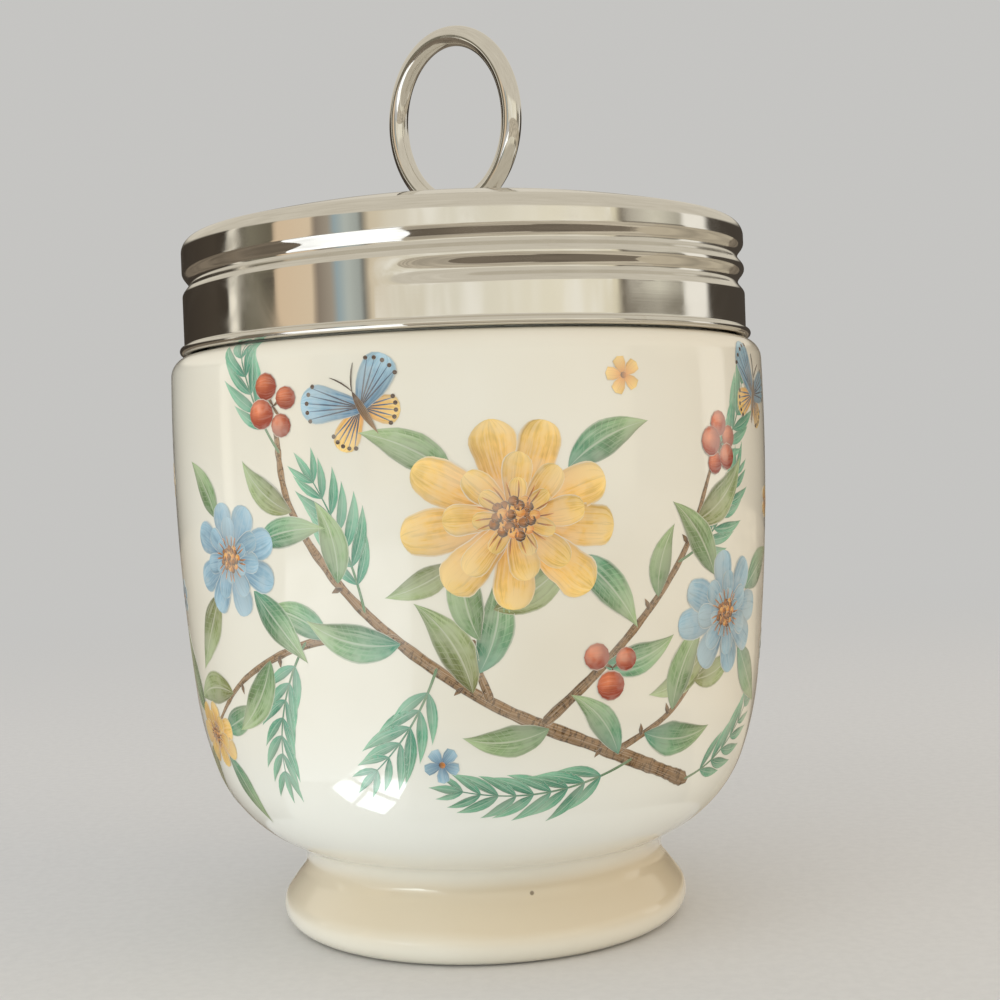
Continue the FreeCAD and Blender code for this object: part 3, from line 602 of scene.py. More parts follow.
    def frond(self, start, heading, reach, bend, pairs):
        """Lays a thin stem with pairs of slender leaves and one at its tip."""
        teal, pale_teal = self.paint.teal, self.paint.pale_teal
        path = curve_from(start, heading, reach, bend)
        self.stroke(path, 0.26, stem_form, fading(self.paint.sage, teal), 1)
        for number in range(pairs):
            share = 0.2 + 0.78 * number / (pairs - 1)
            spot, ahead = point_on(path, share)
            size = 2.2 + 2.6 * math.sin(math.pi * (0.22 + 0.7 * share))
            size *= self.random.uniform(0.88, 1.12)
            for side in (-1, 1):
                turn = side * self.random.uniform(34, 46)
                self.leaf(spot, ahead + turn, size, size * 0.23, -turn * 0.6, teal, pale_teal)
        spot, ahead = point_on(path, 0.98)
        self.leaf(spot, ahead, 3.2, 0.8, 8, teal, pale_teal)

    def petals(self, centre, reach, count, squash, start, heart, tip, layer, fullness):
        """Lays a ring of petals round a centre."""
        for number in range(count):
            heading = start + 360 * number / count + self.random.uniform(-5, 5)
            long = reach * self.random.uniform(0.92, 1.06)
            path = curve_from(centre + direction(heading) * 0.1 * reach, heading, long * 0.9,
                              self.random.uniform(-14, 14))
            path = centre + (path - centre) * (1.0, squash)
            width = 2 * math.pi * reach * 0.72 / count * fullness
            self.stroke(path, width, petal_form, fading(heart, tip, 0.75, 0.1),
                        layer + number % 2, 0.06)

    def flower_heart(self, centre, reach, squash):
        """Lays a spiral of dots and a fringe of stamens."""
        umber, amber, straw = self.paint.umber, self.paint.amber, self.paint.straw
        for number in range(26):
            out = 0.2 * reach * math.sqrt((number + 0.5) / 26)
            spot = centre + out * direction(math.degrees(number * 2.4), squash)
            tint = ball(umber, amber) if number % 3 else ball(amber, straw)
            self.dot(spot, reach * 0.052, tint, 10 + number % 2)
        for number in range(18):
            heading = 20 * number + self.random.uniform(-6, 6)
            spot = centre + direction(heading, squash) * reach * 0.2
            stamen = curve_from(spot, heading, reach * 0.16, 12, 8)
            self.stroke(stamen, 0.16, hair_form, fading(umber, amber), 10)

    def wing(self, centre, heading, reach, width, hues, layer):
        """Lays a butterfly's wing with its ribs and the dots along its edge."""
        umber = self.paint.umber
        self.stroke(curve_from(centre, heading, reach, 0), width, petal_form,
                    fading(*hues, 0.8), layer, 0.05)
        spread = math.degrees(math.atan2(width * 0.42, reach * 0.8))
        shares = (-1.0, -0.5, 0.0, 0.5, 1.0)
        for share in shares:
            rib = curve_from(centre, heading + share * spread * 0.72, reach * 0.86, 0, 12)
            self.stroke(rib, 0.14, hair_form, fading(umber, self.paint.slate), layer + 1)
        for share in shares:
            way = direction(heading + share * spread * 0.8) * reach
            self.dot(centre + way * (0.89 - 0.04 * share ** 2), 0.2, fading(umber, umber),
                     layer + 2)

    def butterfly_body(self, centre, tilt):
        umber = self.paint.umber
        head = centre + 1.5 * direction(tilt + 90)
        self.stroke(curve_from(head, tilt + 270, 4.2, 8), 0.75, leaf_form,
                    fading(umber, self.paint.bark), 9)
        for side in (-1, 1):
            feeler = curve_from(head, tilt + 90 + side * 18, 2.4, side * 26, 12)
            self.stroke(feeler, 0.13, hair_form, fading(umber, umber), 8)

    def finish(self, name, material, streaks, pooling, **effects):
        """Makes the piece, in an enamel of the given name and effects."""
        made = mesh_object(name, self.vertices, self.faces, self.flat_uvs())
        tints = np.clip(self.tints, 0, 1)
        tints = np.concatenate([tints, np.ones((len(tints), 1))], axis=1)
        for key, kind, field, values in (("tint", "FLOAT_COLOR", "color", tints),
                                         ("stroke", "FLOAT_VECTOR", "vector", self.strokes)):
            layer = made.data.attributes.new(key, kind, "POINT")
            layer.data.foreach_set(field, np.array(values, np.float32).ravel())
        made.data.normals_split_custom_set_from_vertices(self.normals)
        wear(made, enamel_material(material, self.cup, streaks, pooling, **effects))
        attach(made, "cup")


# ---------------------------------------------------------------- shader building

class Value:
    """A node's output. Sums with it, and comparisons, add Math nodes."""

    def __init__(self, nodes, socket):
        self.nodes, self.socket = nodes, socket

    def __add__(self, other):
        return self.nodes.math("ADD", self, other)

    def __sub__(self, other):
        return self.nodes.math("SUBTRACT", self, other)

    def __mul__(self, other):
        return self.nodes.math("MULTIPLY", self, other)

    def at_least(self, other):
        return self.nodes.math("MAXIMUM", self, other)

    def between(self, low, high):
        return (self.nodes.math("GREATER_THAN", self, low)
                * self.nodes.math("LESS_THAN", self, high))


class Nodes:
    """Empties a tree and adds nodes to it. An input is a plain value, or a node's output."""

    def __init__(self, tree):
        self.tree = tree
        tree.nodes.clear()

    def add(self, kind, inputs=None, output=0, **settings):
        """Gives the chosen output, or a list of them all where output is None."""
        made = self.tree.nodes.new("ShaderNode" + kind)
        for name, value in settings.items():
            setattr(made, name, value)
        for key, value in (inputs or {}).items():
            self.feed(made.inputs[key], value)
        if output is None:
            return [Value(self, socket) for socket in made.outputs]
        return Value(self, made.outputs[output])

    def feed(self, socket, value):
        if isinstance(value, Value):
            self.tree.links.new(value.socket, socket)
        else:
            socket.default_value = value

    def math(self, operation, *values, clamp=False):
        return self.add("Math", dict(enumerate(values)), operation=operation, use_clamp=clamp)

    def distance(self, place, other):
        return self.add("VectorMath", {0: place, 1: other}, "Value", operation="DISTANCE")

    def mix(self, factor, one, other, blend="MIX"):
        return self.add("Mix", {0: factor, 6: one, 7: other}, output=2, data_type="RGBA",
                        blend_type=blend)

    def spread(self, value, low, high, out_low=0.0, out_high=1.0):
        return self.add("MapRange", {0: value, 1: low, 2: high, 3: out_low, 4: out_high},
                        interpolation_type="SMOOTHSTEP")

    def noise(self, place, scale, detail=2.0, roughness=0.5, distortion=0.0):
        return self.add("TexNoise", {"Vector": place, "Scale": scale, "Detail": detail,
                                     "Roughness": roughness, "Distortion": distortion})

    def place(self):
        return self.add("TexCoord", output=3)

    def split(self, vector):
        return self.add("SeparateXYZ", {0: vector}, None)

    def join(self, *values):
        return self.add("CombineXYZ", dict(enumerate(values)))

    def show(self, shader, kind="Material"):
        """Makes a shader the surface."""
        self.add("Output" + kind, {"Surface": shader}, None)

    def put_out(self, colour, roughness, height, strength):
        """Gives a group its outputs. The normal comes from a height."""
        normal = self.add("Bump", {"Height": height, "Strength": strength, "Distance": 1.0})
        result = self.tree.nodes.new("NodeGroupOutput").inputs
        for key, value in (("Color", colour), ("Roughness", roughness), ("Normal", normal)):
            self.feed(result[key], value)


def new_group(name, inputs):
    """A shader group for a surface's colour, roughness and normal. inputs holds the defaults."""
    tree = bpy.data.node_groups.new(name, "ShaderNodeTree")
    for key, default in inputs.items():
        kind = "NodeSocketFloat" if isinstance(default, float) else "NodeSocketColor"
        tree.interface.new_socket(key, in_out="INPUT", socket_type=kind).default_value = default
    for key, kind in (("Color", "Color"), ("Roughness", "Float"), ("Normal", "Vector")):
        tree.interface.new_socket(key, in_out="OUTPUT", socket_type="NodeSocket" + kind)
    nodes = Nodes(tree)
    given = tree.nodes.new("NodeGroupInput").outputs
    return nodes, {key: Value(nodes, given[key]) for key in inputs}


def new_material(name):
    material = bpy.data.materials.new(name)
    material.use_nodes = True
    return material, Nodes(material.node_tree)


def finish_material(name, group, values, shader_values):
    """A material whose colour, roughness and normal come from a shader group."""
    material, nodes = new_material(name)
    colour, roughness, normal = nodes.add("Group", values, None,
                                          node_tree=bpy.data.node_groups[group])
    nodes.show(nodes.add("BsdfPrincipled", {"Base Color": colour, "Roughness": roughness,
                                            "Normal": normal, **shader_values}))
    return material


def wear(obj, material):
    obj.data.materials.clear()
    obj.data.materials.append(material)


def make_glaze_group():
    """Fired glaze: drifting tone, pooled glaze with painted shade on the foot, painted pale light at
    the waist, kiln specks, waves and a bare tread.
    """
    nodes, given = new_group("Fired glaze", {
        "Glaze": (0.8, 0.78, 0.7, 1), "Pooled Glaze And Shade": (0.7, 0.6, 0.45, 1),
        "Painted Waist Light": (0.85, 0.85, 0.79, 1), "Bare Clay": (0.6, 0.56, 0.5, 1),
        "Speck": (0.1, 0.06, 0.03, 1)})
    # Heights in metres, each from where a look is absent to where it is full.
    # The foot band: glaze pooled in the flare, darkened further as painted shade under the bowl.
    foot_top, foot_low = (0.0084, 0.0058), (0.0012, 0.0036)
    shoulder_rise = (0.0535, 0.0565)
    # The waist band: painted light, a paler and cooler tone on the waist and lower belly.
    waist_low, waist_top = (0.0066, 0.0094), (0.0270, 0.0115)
    tread_rise = (0.00052, 0.00034)
    # The one large speck: where it is, and over which distances from there it shows.
    speck_place, speck_edge = (0.00440, -0.01716, 0.00593), (0.00026, 0.00012)

    place = nodes.place()
    height = nodes.split(place)[2]
    drift = nodes.spread(nodes.noise(place, 38.0), 0.35, 0.7, 0.0, 0.28)
    # Painted shade on the foot under the bowl, in the pooled glaze's darker, warmer colour, which
    # also pools there.
    foot = nodes.spread(height, *foot_top, 0.0, 0.85) * nodes.spread(height, *foot_low)
    shoulder = nodes.spread(height, *shoulder_rise, 0.0, 0.3)
    # pooled holds the real pooling at the shoulder, the painted foot shade and a random drift.
    pooled = nodes.math("ADD", foot + shoulder, drift, clamp=True)
    tone = nodes.mix(pooled, given["Glaze"], given["Pooled Glaze And Shade"])
    # Painted light: the waist and lower belly made paler and cooler.
    waist = nodes.spread(height, *waist_low) * nodes.spread(height, *waist_top, 0.0, 0.85)
    tone = nodes.mix(waist, tone, given["Painted Waist Light"])
    distance, cell = nodes.add("TexVoronoi", {"Vector": place, "Scale": 210.0}, None)[:2]
    chosen = nodes.math("GREATER_THAN", nodes.add("SeparateColor", {0: cell}), 0.86)
    specks = chosen * nodes.spread(distance, 0.030, 0.012) * 0.55
    tone = nodes.mix(specks, tone, given["Speck"])
    from_speck = nodes.distance(place, speck_place)
    tone = nodes.mix(nodes.spread(from_speck, *speck_edge, 0.0, 0.8), tone, given["Speck"])
    bare_line = nodes.noise(place, 900.0, 3.0) * 0.0004 + height
    bare = nodes.spread(bare_line, *tread_rise)
    grime = nodes.spread(nodes.noise(place, 1400.0, 4.0, 0.7), 0.45, 0.75, 0.0, 0.5)
    clay = nodes.mix(grime, given["Bare Clay"], given["Speck"])
    gloss = nodes.spread(nodes.noise(place, 130.0, 3.0, 0.6), 0.35, 0.75, 0.055, 0.115)
    waves = nodes.noise(place, 75.0, 1.0)
    peel = nodes.noise(place, 950.0)
    grit = nodes.noise(place, 5200.0, 3.0) * bare
    nodes.put_out(nodes.mix(bare, tone, clay), gloss.at_least(bare * 0.62),
                  waves * 0.00012 + peel * 0.000001 + grit * 0.00008, 0.5)


def make_plate_group():
    """Bright plate: wiping smears, fine rings from polishing, soft ripples in the sheet."""
    nodes, given = new_group("Bright plate", {
        "Plate": (0.8, 0.78, 0.74, 1), "Tarnish": (0.5, 0.42, 0.3, 1),
        "Ripple": 0.00003, "Smear": 0.16, "Hairs": 1.0})
    place = nodes.place()
    smears = nodes.spread(nodes.noise(place, 95.0, 4.0, 0.62, 0.6), 0.42, 0.72)
    blotch = nodes.spread(nodes.noise(place, 420.0, 3.0, 0.6), 0.55, 0.8, 0.0, 0.35)
    across, ahead, height = nodes.split(place)
    azimuth = nodes.math("ARCTAN2", ahead, across)
    hairlines = nodes.noise(nodes.join(azimuth * 1.4, height * 5200.0, 0.0), 1.0, 3.0, 0.6)
    hairs = nodes.spread(hairlines, 0.62, 0.8) * given["Hairs"]
    ripples = nodes.noise(place, 110.0, 1.0) * given["Ripple"]
    scratches = hairlines * (given["Hairs"] * 0.0000006)
    nodes.put_out(nodes.mix(blotch * smears, given["Plate"], given["Tarnish"]),
                  smears * given["Smear"] + hairs * 0.05 + 0.045, ripples + scratches, 1.0)


def make_enamel_group():
    """Painted enamel: streaks along the brush, pooled edges, leaf veins or ticks of bark."""
    nodes, given = new_group("Painted enamel", {
        "Streaks": 0.4, "Pooling": 0.3, "Veins": 0.0, "Bark": 0.0, "Washes": 0.2,
        "Glaze": (0.8, 0.77, 0.69, 1)})
    tint = nodes.add("Attribute", attribute_name="tint")
    stroke = nodes.add("Attribute", output=1, attribute_name="stroke")
    ahead, side, number = nodes.split(stroke)
    away = nodes.math("ABSOLUTE", side)
    brush = nodes.join(ahead * 0.16, side * 4.2, number * 91.0)
    bristles = nodes.noise(brush, 1.6, 3.0, 0.65)
    streak = nodes.spread(bristles, 0.32, 0.72, -1.0, 1.0) * given["Streaks"]
    pooled = nodes.spread(away, 0.62, 1.0) * given["Pooling"]
    slant = ahead * 5.2 - away * 5.5
    rib = nodes.spread(nodes.math("ABSOLUTE", nodes.math("SINE", slant)), 0.3, 0.0)
    midrib = nodes.spread(away, 0.10, 0.02)
    veins = midrib.at_least(rib * 0.5) * given["Veins"]
    crossing = nodes.join(ahead * 3.4, side * 0.8, number * 57.0)
    ticks = nodes.spread(nodes.noise(crossing, 1.0, 2.0, 0.7, 0.4), 0.5, 0.62)
    wash = nodes.noise(nodes.place(), 330.0, 3.0, 0.6)
    washed = nodes.spread(wash, 0.38, 0.68, -1.0, 1.0) * given["Washes"]
    darker = pooled
    for more in (streak.at_least(0.0), washed.at_least(0.0), ticks * given["Bark"]):
        darker = nodes.math("ADD", darker, more, clamp=True)
    deep = nodes.mix(1.0, tint, (0.30, 0.27, 0.25, 1), blend="MULTIPLY")
    edge = nodes.spread(away + bristles * 0.22, 0.98, 1.14, 0.0, 0.7)
    thin = (streak * -0.75).at_least(veins).at_least(washed * -1.1).at_least(edge)
    nodes.put_out(nodes.mix(thin, nodes.mix(darker, tint, deep), given["Glaze"]),
                  nodes.spread(bristles, 0.3, 0.7, 0.1, 0.2), bristles * 0.000006, 0.6)


def glassy(coat_roughness):
    """How the clear glass on top reflects."""
    return {"IOR": 1.52, "Coat Weight": 0.35, "Coat Roughness": coat_roughness}


def enamel_material(name, settings, streaks, pooling, veins=0.0, bark=0.0, washes=0.2):
    return finish_material(name, "Painted enamel", {
        "Streaks": streaks, "Pooling": pooling, "Veins": veins, "Bark": bark, "Washes": washes,
        "Glaze": (*settings.glaze, 1)}, glassy(0.05))


def porcelain_material(settings):
    return finish_material("glazed_porcelain", "Fired glaze", {
        "Glaze": (*settings.glaze, 1), "Pooled Glaze And Shade": (*settings.pooled_glaze_and_shade, 1),
        "Bare Clay": (*settings.bare_clay, 1)}, glassy(0.04))


def plate_material(name, settings, metal, ripple, smear, hairs=0.0):
    return finish_material(name, "Bright plate", {
        "Plate": (*metal, 1), "Tarnish": (*settings.tarnish, 1), "Ripple": ripple,
        "Smear": smear, "Hairs": hairs}, {"Metallic": 1.0})


# ---------------------------------------------------------------- settings

def length(name, description, default):
    return bpy.props.FloatProperty(name=name, description=description, default=default * MM,
                                   unit="LENGTH", precision=5)


def colour(name, description, default):
    return bpy.props.FloatVectorProperty(name=name, description=description, default=default,
                                         subtype="COLOR", size=3, min=0.0, max=1.0)


class CupSettings(bpy.types.PropertyGroup):
    """Sizes and glaze of the cup"""
    body_radius: length("Body radius", "Radius at the widest girth", CUP_HIGH.x)
    waist_radius: length("Waist radius", "Radius where the bowl meets the foot", 17.65)
    foot_radius: length("Foot radius", "Radius of the foot", 20.0)
    wall: length("Wall", "Thickness of the porcelain", 3.6)
    columns: bpy.props.IntProperty(name="Columns", description="Faces round the cup",
                                   default=252, min=48)
    glaze: colour("Glaze", "Colour of the clear glaze over the white body", (0.755, 0.715, 0.615))
    # This colour also paints the shade on the foot under the bowl.
    pooled_glaze_and_shade: colour("Pooled glaze and shade", "Colour where the glaze lies thick",
                         (0.62, 0.53, 0.385))
    bare_clay: colour("Bare clay", "Colour of the unglazed tread", (0.62, 0.58, 0.50))


class PaintSettings(bpy.types.PropertyGroup):
    """Colours of the painted sprigs"""
    teal: colour("Teal", "Slender leaves", paint_colour(52, 132, 106))
    pale_teal: colour("Pale teal", "Tips of the slender leaves", paint_colour(128, 182, 148))
    sage: colour("Sage", "Broad leaves", paint_colour(92, 128, 84))
    pale_sage: colour("Pale sage", "Tips of the broad leaves", paint_colour(158, 178, 128))
    olive: colour("Olive", "Older leaves", paint_colour(118, 120, 66))
    bark: colour("Bark", "Woody stems", paint_colour(150, 118, 84))
    amber: colour("Amber", "Hearts of the yellow flowers", paint_colour(214, 132, 52))
    straw: colour("Straw", "Tips of the yellow petals", paint_colour(240, 202, 118))
    slate: colour("Slate", "Hearts of the blue flowers", paint_colour(78, 112, 140))
    sky: colour("Sky", "Tips of the blue petals", paint_colour(158, 190, 204))
    russet: colour("Russet", "Shaded side of the berries", paint_colour(146, 56, 36))
    coral: colour("Coral", "Lit side of the berries", paint_colour(226, 128, 84))
    umber: colour("Umber", "Stamens and fine lines", paint_colour(78, 54, 40))


class LidSettings(bpy.types.PropertyGroup):
    """Sizes and plating of the lid and its finger ring"""
    columns: bpy.props.IntProperty(name="Columns", description="Faces round the lid",
                                   default=270, min=48)
    wire_radius: length("Wire radius", "Radius of the finger ring's wire", WIRE_RADIUS)
    plate: colour("Plate", "Colour of the bright plate", (0.80, 0.785, 0.75))
    tarnish: colour("Tarnish", "Colour of the faint tarnish", (0.58, 0.50, 0.38))
    steel: colour("Steel", "Colour of the washer inside the lid", (0.56, 0.55, 0.53))


class StageSettings(bpy.types.PropertyGroup):
    """Floor, lamps and camera"""
    floor: colour("Floor", "Colour of the pale floor", (0.69, 0.68, 0.66))
    backdrop: colour("Backdrop", "Colour seen beyond the floor", (0.56, 0.555, 0.54))
    ambient: bpy.props.FloatProperty(name="Ambient", description="Light from all round",
                                     default=0.76, min=0.0)
    key_power: bpy.props.FloatProperty(name="Key light", description="Power of the large lamp",
                                       default=0.53, min=0.0, unit="POWER")
    lens: bpy.props.FloatProperty(name="Lens", description="Focal length of the camera",
                                  default=56.76, unit="CAMERA")


# ---------------------------------------------------------------- pieces

class CODDLER_OT_cup(bpy.types.Operator):
    """Make the porcelain cup with its moulded neck thread"""
    bl_idname = "coddler.cup"
    bl_label = "Cup"

    def execute(self, context):
        settings = context.scene.coddler_cup

        def thread(azimuth, radius, height):
            on_neck = np.abs(radius - NECK_RADIUS) < SNAP
            on_neck = on_neck & (height > SHOULDER_HEIGHT + NECK_FILLET)
            return np.where(on_neck, neck_thread(azimuth, height), 0.0)

        outline = CupShape(settings).whole_outline()
        cup = turned_object("porcelain_cup", outline.points, settings.columns, thread)
        wear(cup, porcelain_material(settings))
        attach(cup, "cup")
        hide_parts("cup")
        return {"FINISHED"}


# Each stem's width, its count of leaves, and the places that it passes.
STEMS = (
    (1.5, 6, ((23, 15.5), (12, 20), (1, 25), (-9, 32.5), (-15.5, 41), (-17, 49))),
    (1.05, 3, ((6, 22.6), (13, 28.5), (20, 36), (24.5, 44.5))),
    (0.95, 3, ((-6, 30.2), (-14, 30), (-23, 26.5), (-30, 21.5))),
    (0.8, 3, ((1.5, 24.8), (0.5, 29), (3, 34.5))),
    (0.75, 3, ((13, 19.6), (19, 22.5), (24, 27))),
    (1.1, 3, ((82, 20), (88, 29), (92, 38), (91, 46))),
    (0.8, 3, ((88, 29), (82, 35), (77, 42))),
)
# Hue, centre, reach, count of petals, and how flat the flower is seen.
FLOWERS = (("yellow", (4, 40), 9.2, 9, 0.88), ("blue", (26.5, 30.5), 6.6, 8, 0.85),
           ("blue", (-23.5, 37), 6.0, 8, 0.9), ("yellow", (-31, 20.5), 4.2, 7, 0.8),
           ("yellow", (91, 47), 7.6, 9, 0.9), ("blue", (75, 44), 5.6, 8, 0.85))
# Share of the reach, petals fewer, turn, shades of heart and tip, layer and fullness.
PETAL_RINGS = ((1.0, 0, 0, 1.0, 1.0, 4, 1.12), (0.68, 1, 20, 0.92, 0.96, 6, 1.0),
               (0.4, 2, 7, 0.82, 0.9, 8, 0.9))
BERRIES = (((25.5, 45.5), 5), ((-17, 50), 4), ((12.5, 27.0), 3), ((99, 33), 4))
# Start, heading, reach, bend and pairs of leaves.
FRONDS = (((15, 18.8), 205, 17, -38, 9), ((-16.5, 46), 128, 13, -30, 7),
          ((-15, 30), 232, 13, 34, 7), ((19.5, 35.5), 18, 12, 44, 7),
          ((22.5, 15.8), 8, 12, 40, 6), ((-3, 27.8), 250, 11, -30, 6),
          ((24, 43.5), 30, 10, 42, 6), ((-9, 32.5), 100, 12, 22, 7),
          ((85, 24), 200, 12, -30, 7), ((91, 36), 20, 13, 34, 7))
BUTTERFLIES = (((-8.5, 49.5), 28), ((33, 50), -20), ((105, 48.5), 15), ((-57, 40), -24))
FLORETS = ((-40, 44), (-37, 33), (14, 51.5), (-3, 19.5), (38, 40), (41, 26), (-48, 24), (52, 47),
           (58, 33), (-60, 24), (-66, 49), (68, 24), (-72, 35), (-86, 27))


class CODDLER_OT_twigs(bpy.types.Operator):
    """Paint the woody stems of the sprigs"""
    bl_idname = "coddler.twigs"
    bl_label = "Painted stems"

    def execute(self, context):
        painting = Painting(context.scene, 11)
        bark, umber = np.array(painting.paint.bark), painting.paint.umber
        for width, _, points in STEMS:
            path = curve_through(points)
            painting.stroke(path, width, stem_form, fading(bark * 0.85, bark, shade=0.2),
                            rough=0.12)
            for share in (0.22, 0.47, 0.71):
                spot, heading = point_on(path, share)
                knot = curve_from(spot, heading + 60, 1.1, 20, 6)
                painting.stroke(knot, 0.5, leaf_form, fading(umber, bark), 1)
        painting.finish("painted_stems", "stem_enamel", 0.35, 0.45, bark=0.75, washes=0.08)
        return {"FINISHED"}


class CODDLER_OT_leaves(bpy.types.Operator):
    """Paint the broad leaves and the slender fronds"""
    bl_idname = "coddler.leaves"
    bl_label = "Painted leaves"

    def execute(self, context):
        painting = Painting(context.scene, 5)
        for values in FRONDS:
            painting.frond(*values)
        for _, count, points in STEMS:
            path = curve_through(points)
            for number in range(count):
                spot, heading = point_on(path, 0.12 + 0.8 * (number + 0.5) / count)
                turn = 48 if number % 2 else -48
                painting.broad_leaf(spot, heading + turn, -turn * 0.9, number)
        for _, centre, reach, _, squash in FLOWERS:
            for number in range(4):
                heading = 35 + 93 * number + painting.random.uniform(-16, 16)
                spot = centre + direction(heading, squash) * reach * 0.7
                painting.broad_leaf(spot, heading, painting.random.uniform(-45, 45), number)
        painting.finish("painted_leaves", "leaf_enamel", 0.35, 0.3, veins=0.42)
        return {"FINISHED"}


class CODDLER_OT_flowers(bpy.types.Operator):
    """Paint the yellow and blue flowers and the scattered florets"""
    bl_idname = "coddler.flowers"
    bl_label = "Painted flowers"

    def execute(self, context):
        painting = Painting(context.scene, 23)
        paint = painting.paint
        hues = {"yellow": (np.array(paint.amber), np.array(paint.straw)),
                "blue": (np.array(paint.slate), np.array(paint.sky))}
        for hue, centre, reach, count, squash in FLOWERS:
            heart, tip = hues[hue]
            start = painting.random.uniform(0, 40)
            for share, fewer, turn, heart_shade, tip_shade, layer, fullness in PETAL_RINGS:
                painting.petals(centre, reach * share, count - fewer, squash, start + turn,
                                heart * heart_shade, tip * tip_shade, layer, fullness)
            painting.flower_heart(centre, reach, squash)
        for number, centre in enumerate(FLORETS):
            heart, tip = hues["blue" if number % 2 else "yellow"]
            painting.petals(centre, 1.7, 5, 0.95, 17 * number, heart, tip, 3, 1.1)
            painting.dot(centre, 0.3, fading(paint.umber, paint.amber), 6)
        painting.finish("painted_flowers", "petal_enamel", 0.26, 0.22)
        return {"FINISHED"}


class CODDLER_OT_berries(bpy.types.Operator):
    """Paint the clusters of berries"""
    bl_idname = "coddler.berries"
    bl_label = "Painted berries"

    def execute(self, context):
        painting = Painting(context.scene, 31)
        paint = painting.paint
        for centre, count in BERRIES:
            for number in range(count):
                turn = 360 / count * number + 25
                stalk = curve_from(centre, turn, 1.2, 30, 6)
                painting.stroke(stalk, 0.3, hair_form, fading(paint.umber, paint.bark), 5)
                spot = centre + direction(turn) * (1.5 + 0.35 * (number % 2))
                painting.dot(spot, 1.05 + 0.15 * (number % 3), ball(paint.russet, paint.coral),
                             6 + number % 3, 0.02)
        painting.finish("painted_berries", "berry_enamel", 0.15, 0.3)
        return {"FINISHED"}


class CODDLER_OT_butterflies(bpy.types.Operator):
    """Paint the small butterflies between the sprigs"""
    bl_idname = "coddler.butterflies"
    bl_label = "Painted butterflies"

    def execute(self, context):
        painting = Painting(context.scene, 41)
        paint = painting.paint
        for centre, tilt in BUTTERFLIES:
            for side, size in ((-1, 1.0), (1, 0.86)):
                painting.wing(centre, tilt + 90 - side * 124, 4.0 * size, 3.4,
                              (paint.amber, paint.straw), 2)
                painting.wing(centre, tilt + 90 - side * 56, 5.6 * size, 4.3,
                              (paint.slate, paint.sky), 5)
            painting.butterfly_body(centre, tilt)
        painting.finish("painted_butterflies", "wing_enamel", 0.3, 0.3)
        return {"FINISHED"}


class CODDLER_OT_lid(bpy.types.Operator):
    """Make the pressed screw lid with its rolled thread and beaded edge"""
    bl_idname = "coddler.lid"
    bl_label = "Lid"

    def execute(self, context):
        settings = context.scene.coddler_lid
        outer = CUP_HIGH.x - LID_INSET

        def groove(azimuth, radius, height):
            on_side = (height > LID_LOW.z + PLAIN_EDGE) & (height < LID_LOW.z + SIDE_RISE + SNAP)
            on_outer = (np.abs(radius - outer) < SNAP) & on_side
            on_inner = (np.abs(radius - outer + SHEET) < SNAP) & on_side
            outside = lid_groove(azimuth, height, GROOVE_DEPTH, GROOVE_HALF_WIDTH)
            inside = lid_groove(azimuth, height, RIDGE_DEPTH, RIDGE_HALF_WIDTH)
            return -np.where(on_outer, outside, np.where(on_inner, inside, 0.0))

        lid = turned_object("screw_lid", lid_outline().points, settings.columns, groove,
                            closed=True)
        wear(lid, plate_material("bright_lid_plate", settings, settings.plate, 0.00003, 0.18, 1.0))
        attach(lid, "lid")
        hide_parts("lid_shell")
        return {"FINISHED"}


class CODDLER_OT_finger_ring(bpy.types.Operator):
    """Make the upright finger ring of round wire"""
    bl_idname = "coddler.finger_ring"
    bl_label = "Finger ring"

    def execute(self, context):
        settings = context.scene.coddler_lid
        wire = settings.wire_radius / MM
        turns = -2 * math.pi * np.arange(WIRE_STEPS) / WIRE_STEPS
        circle = np.stack([RING_RADIUS + wire * np.cos(turns), wire * np.sin(turns)], axis=1)
        ring = turned_object("wire_finger_ring", circle, RING_STEPS, closed=True)
        ahead = Vector((math.cos(RING_TURN), math.sin(RING_TURN), 0.0))
        level = Vector((math.sin(RING_TURN), -math.cos(RING_TURN), 0.0))
        upward = level * math.sin(RING_LEAN) + Vector((0.0, 0.0, math.cos(RING_LEAN)))
        centre = Vector((0.0, 0.0, RING_LOW.z + WIRE_RADIUS)) + upward * RING_RADIUS
        turn = Matrix((ahead, -upward, upward.cross(ahead))).transposed().to_4x4()
        ring.data.transform(Matrix.Translation(centre * MM) @ turn)
        wear(ring, plate_material("bright_ring_plate", settings, settings.plate, 0.000008, 0.3))
        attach(ring, "lid")
        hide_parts("finger_ring")
        return {"FINISHED"}


class CODDLER_OT_fixing(bpy.types.Operator):
    """Finish the stud that carries the ring, and its washer"""
    bl_idname = "coddler.fixing"
    bl_label = "Stud and washer"

    def execute(self, context):
        settings = context.scene.coddler_lid
        wear(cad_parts["ring_stud"],
             plate_material("bright_stud_plate", settings, settings.plate, 0.00001, 0.2))
        wear(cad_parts["stud_washer"],
             plate_material("washer_steel", settings, settings.steel, 0.00001, 0.3))
        return {"FINISHED"}


# ---------------------------------------------------------------- stage

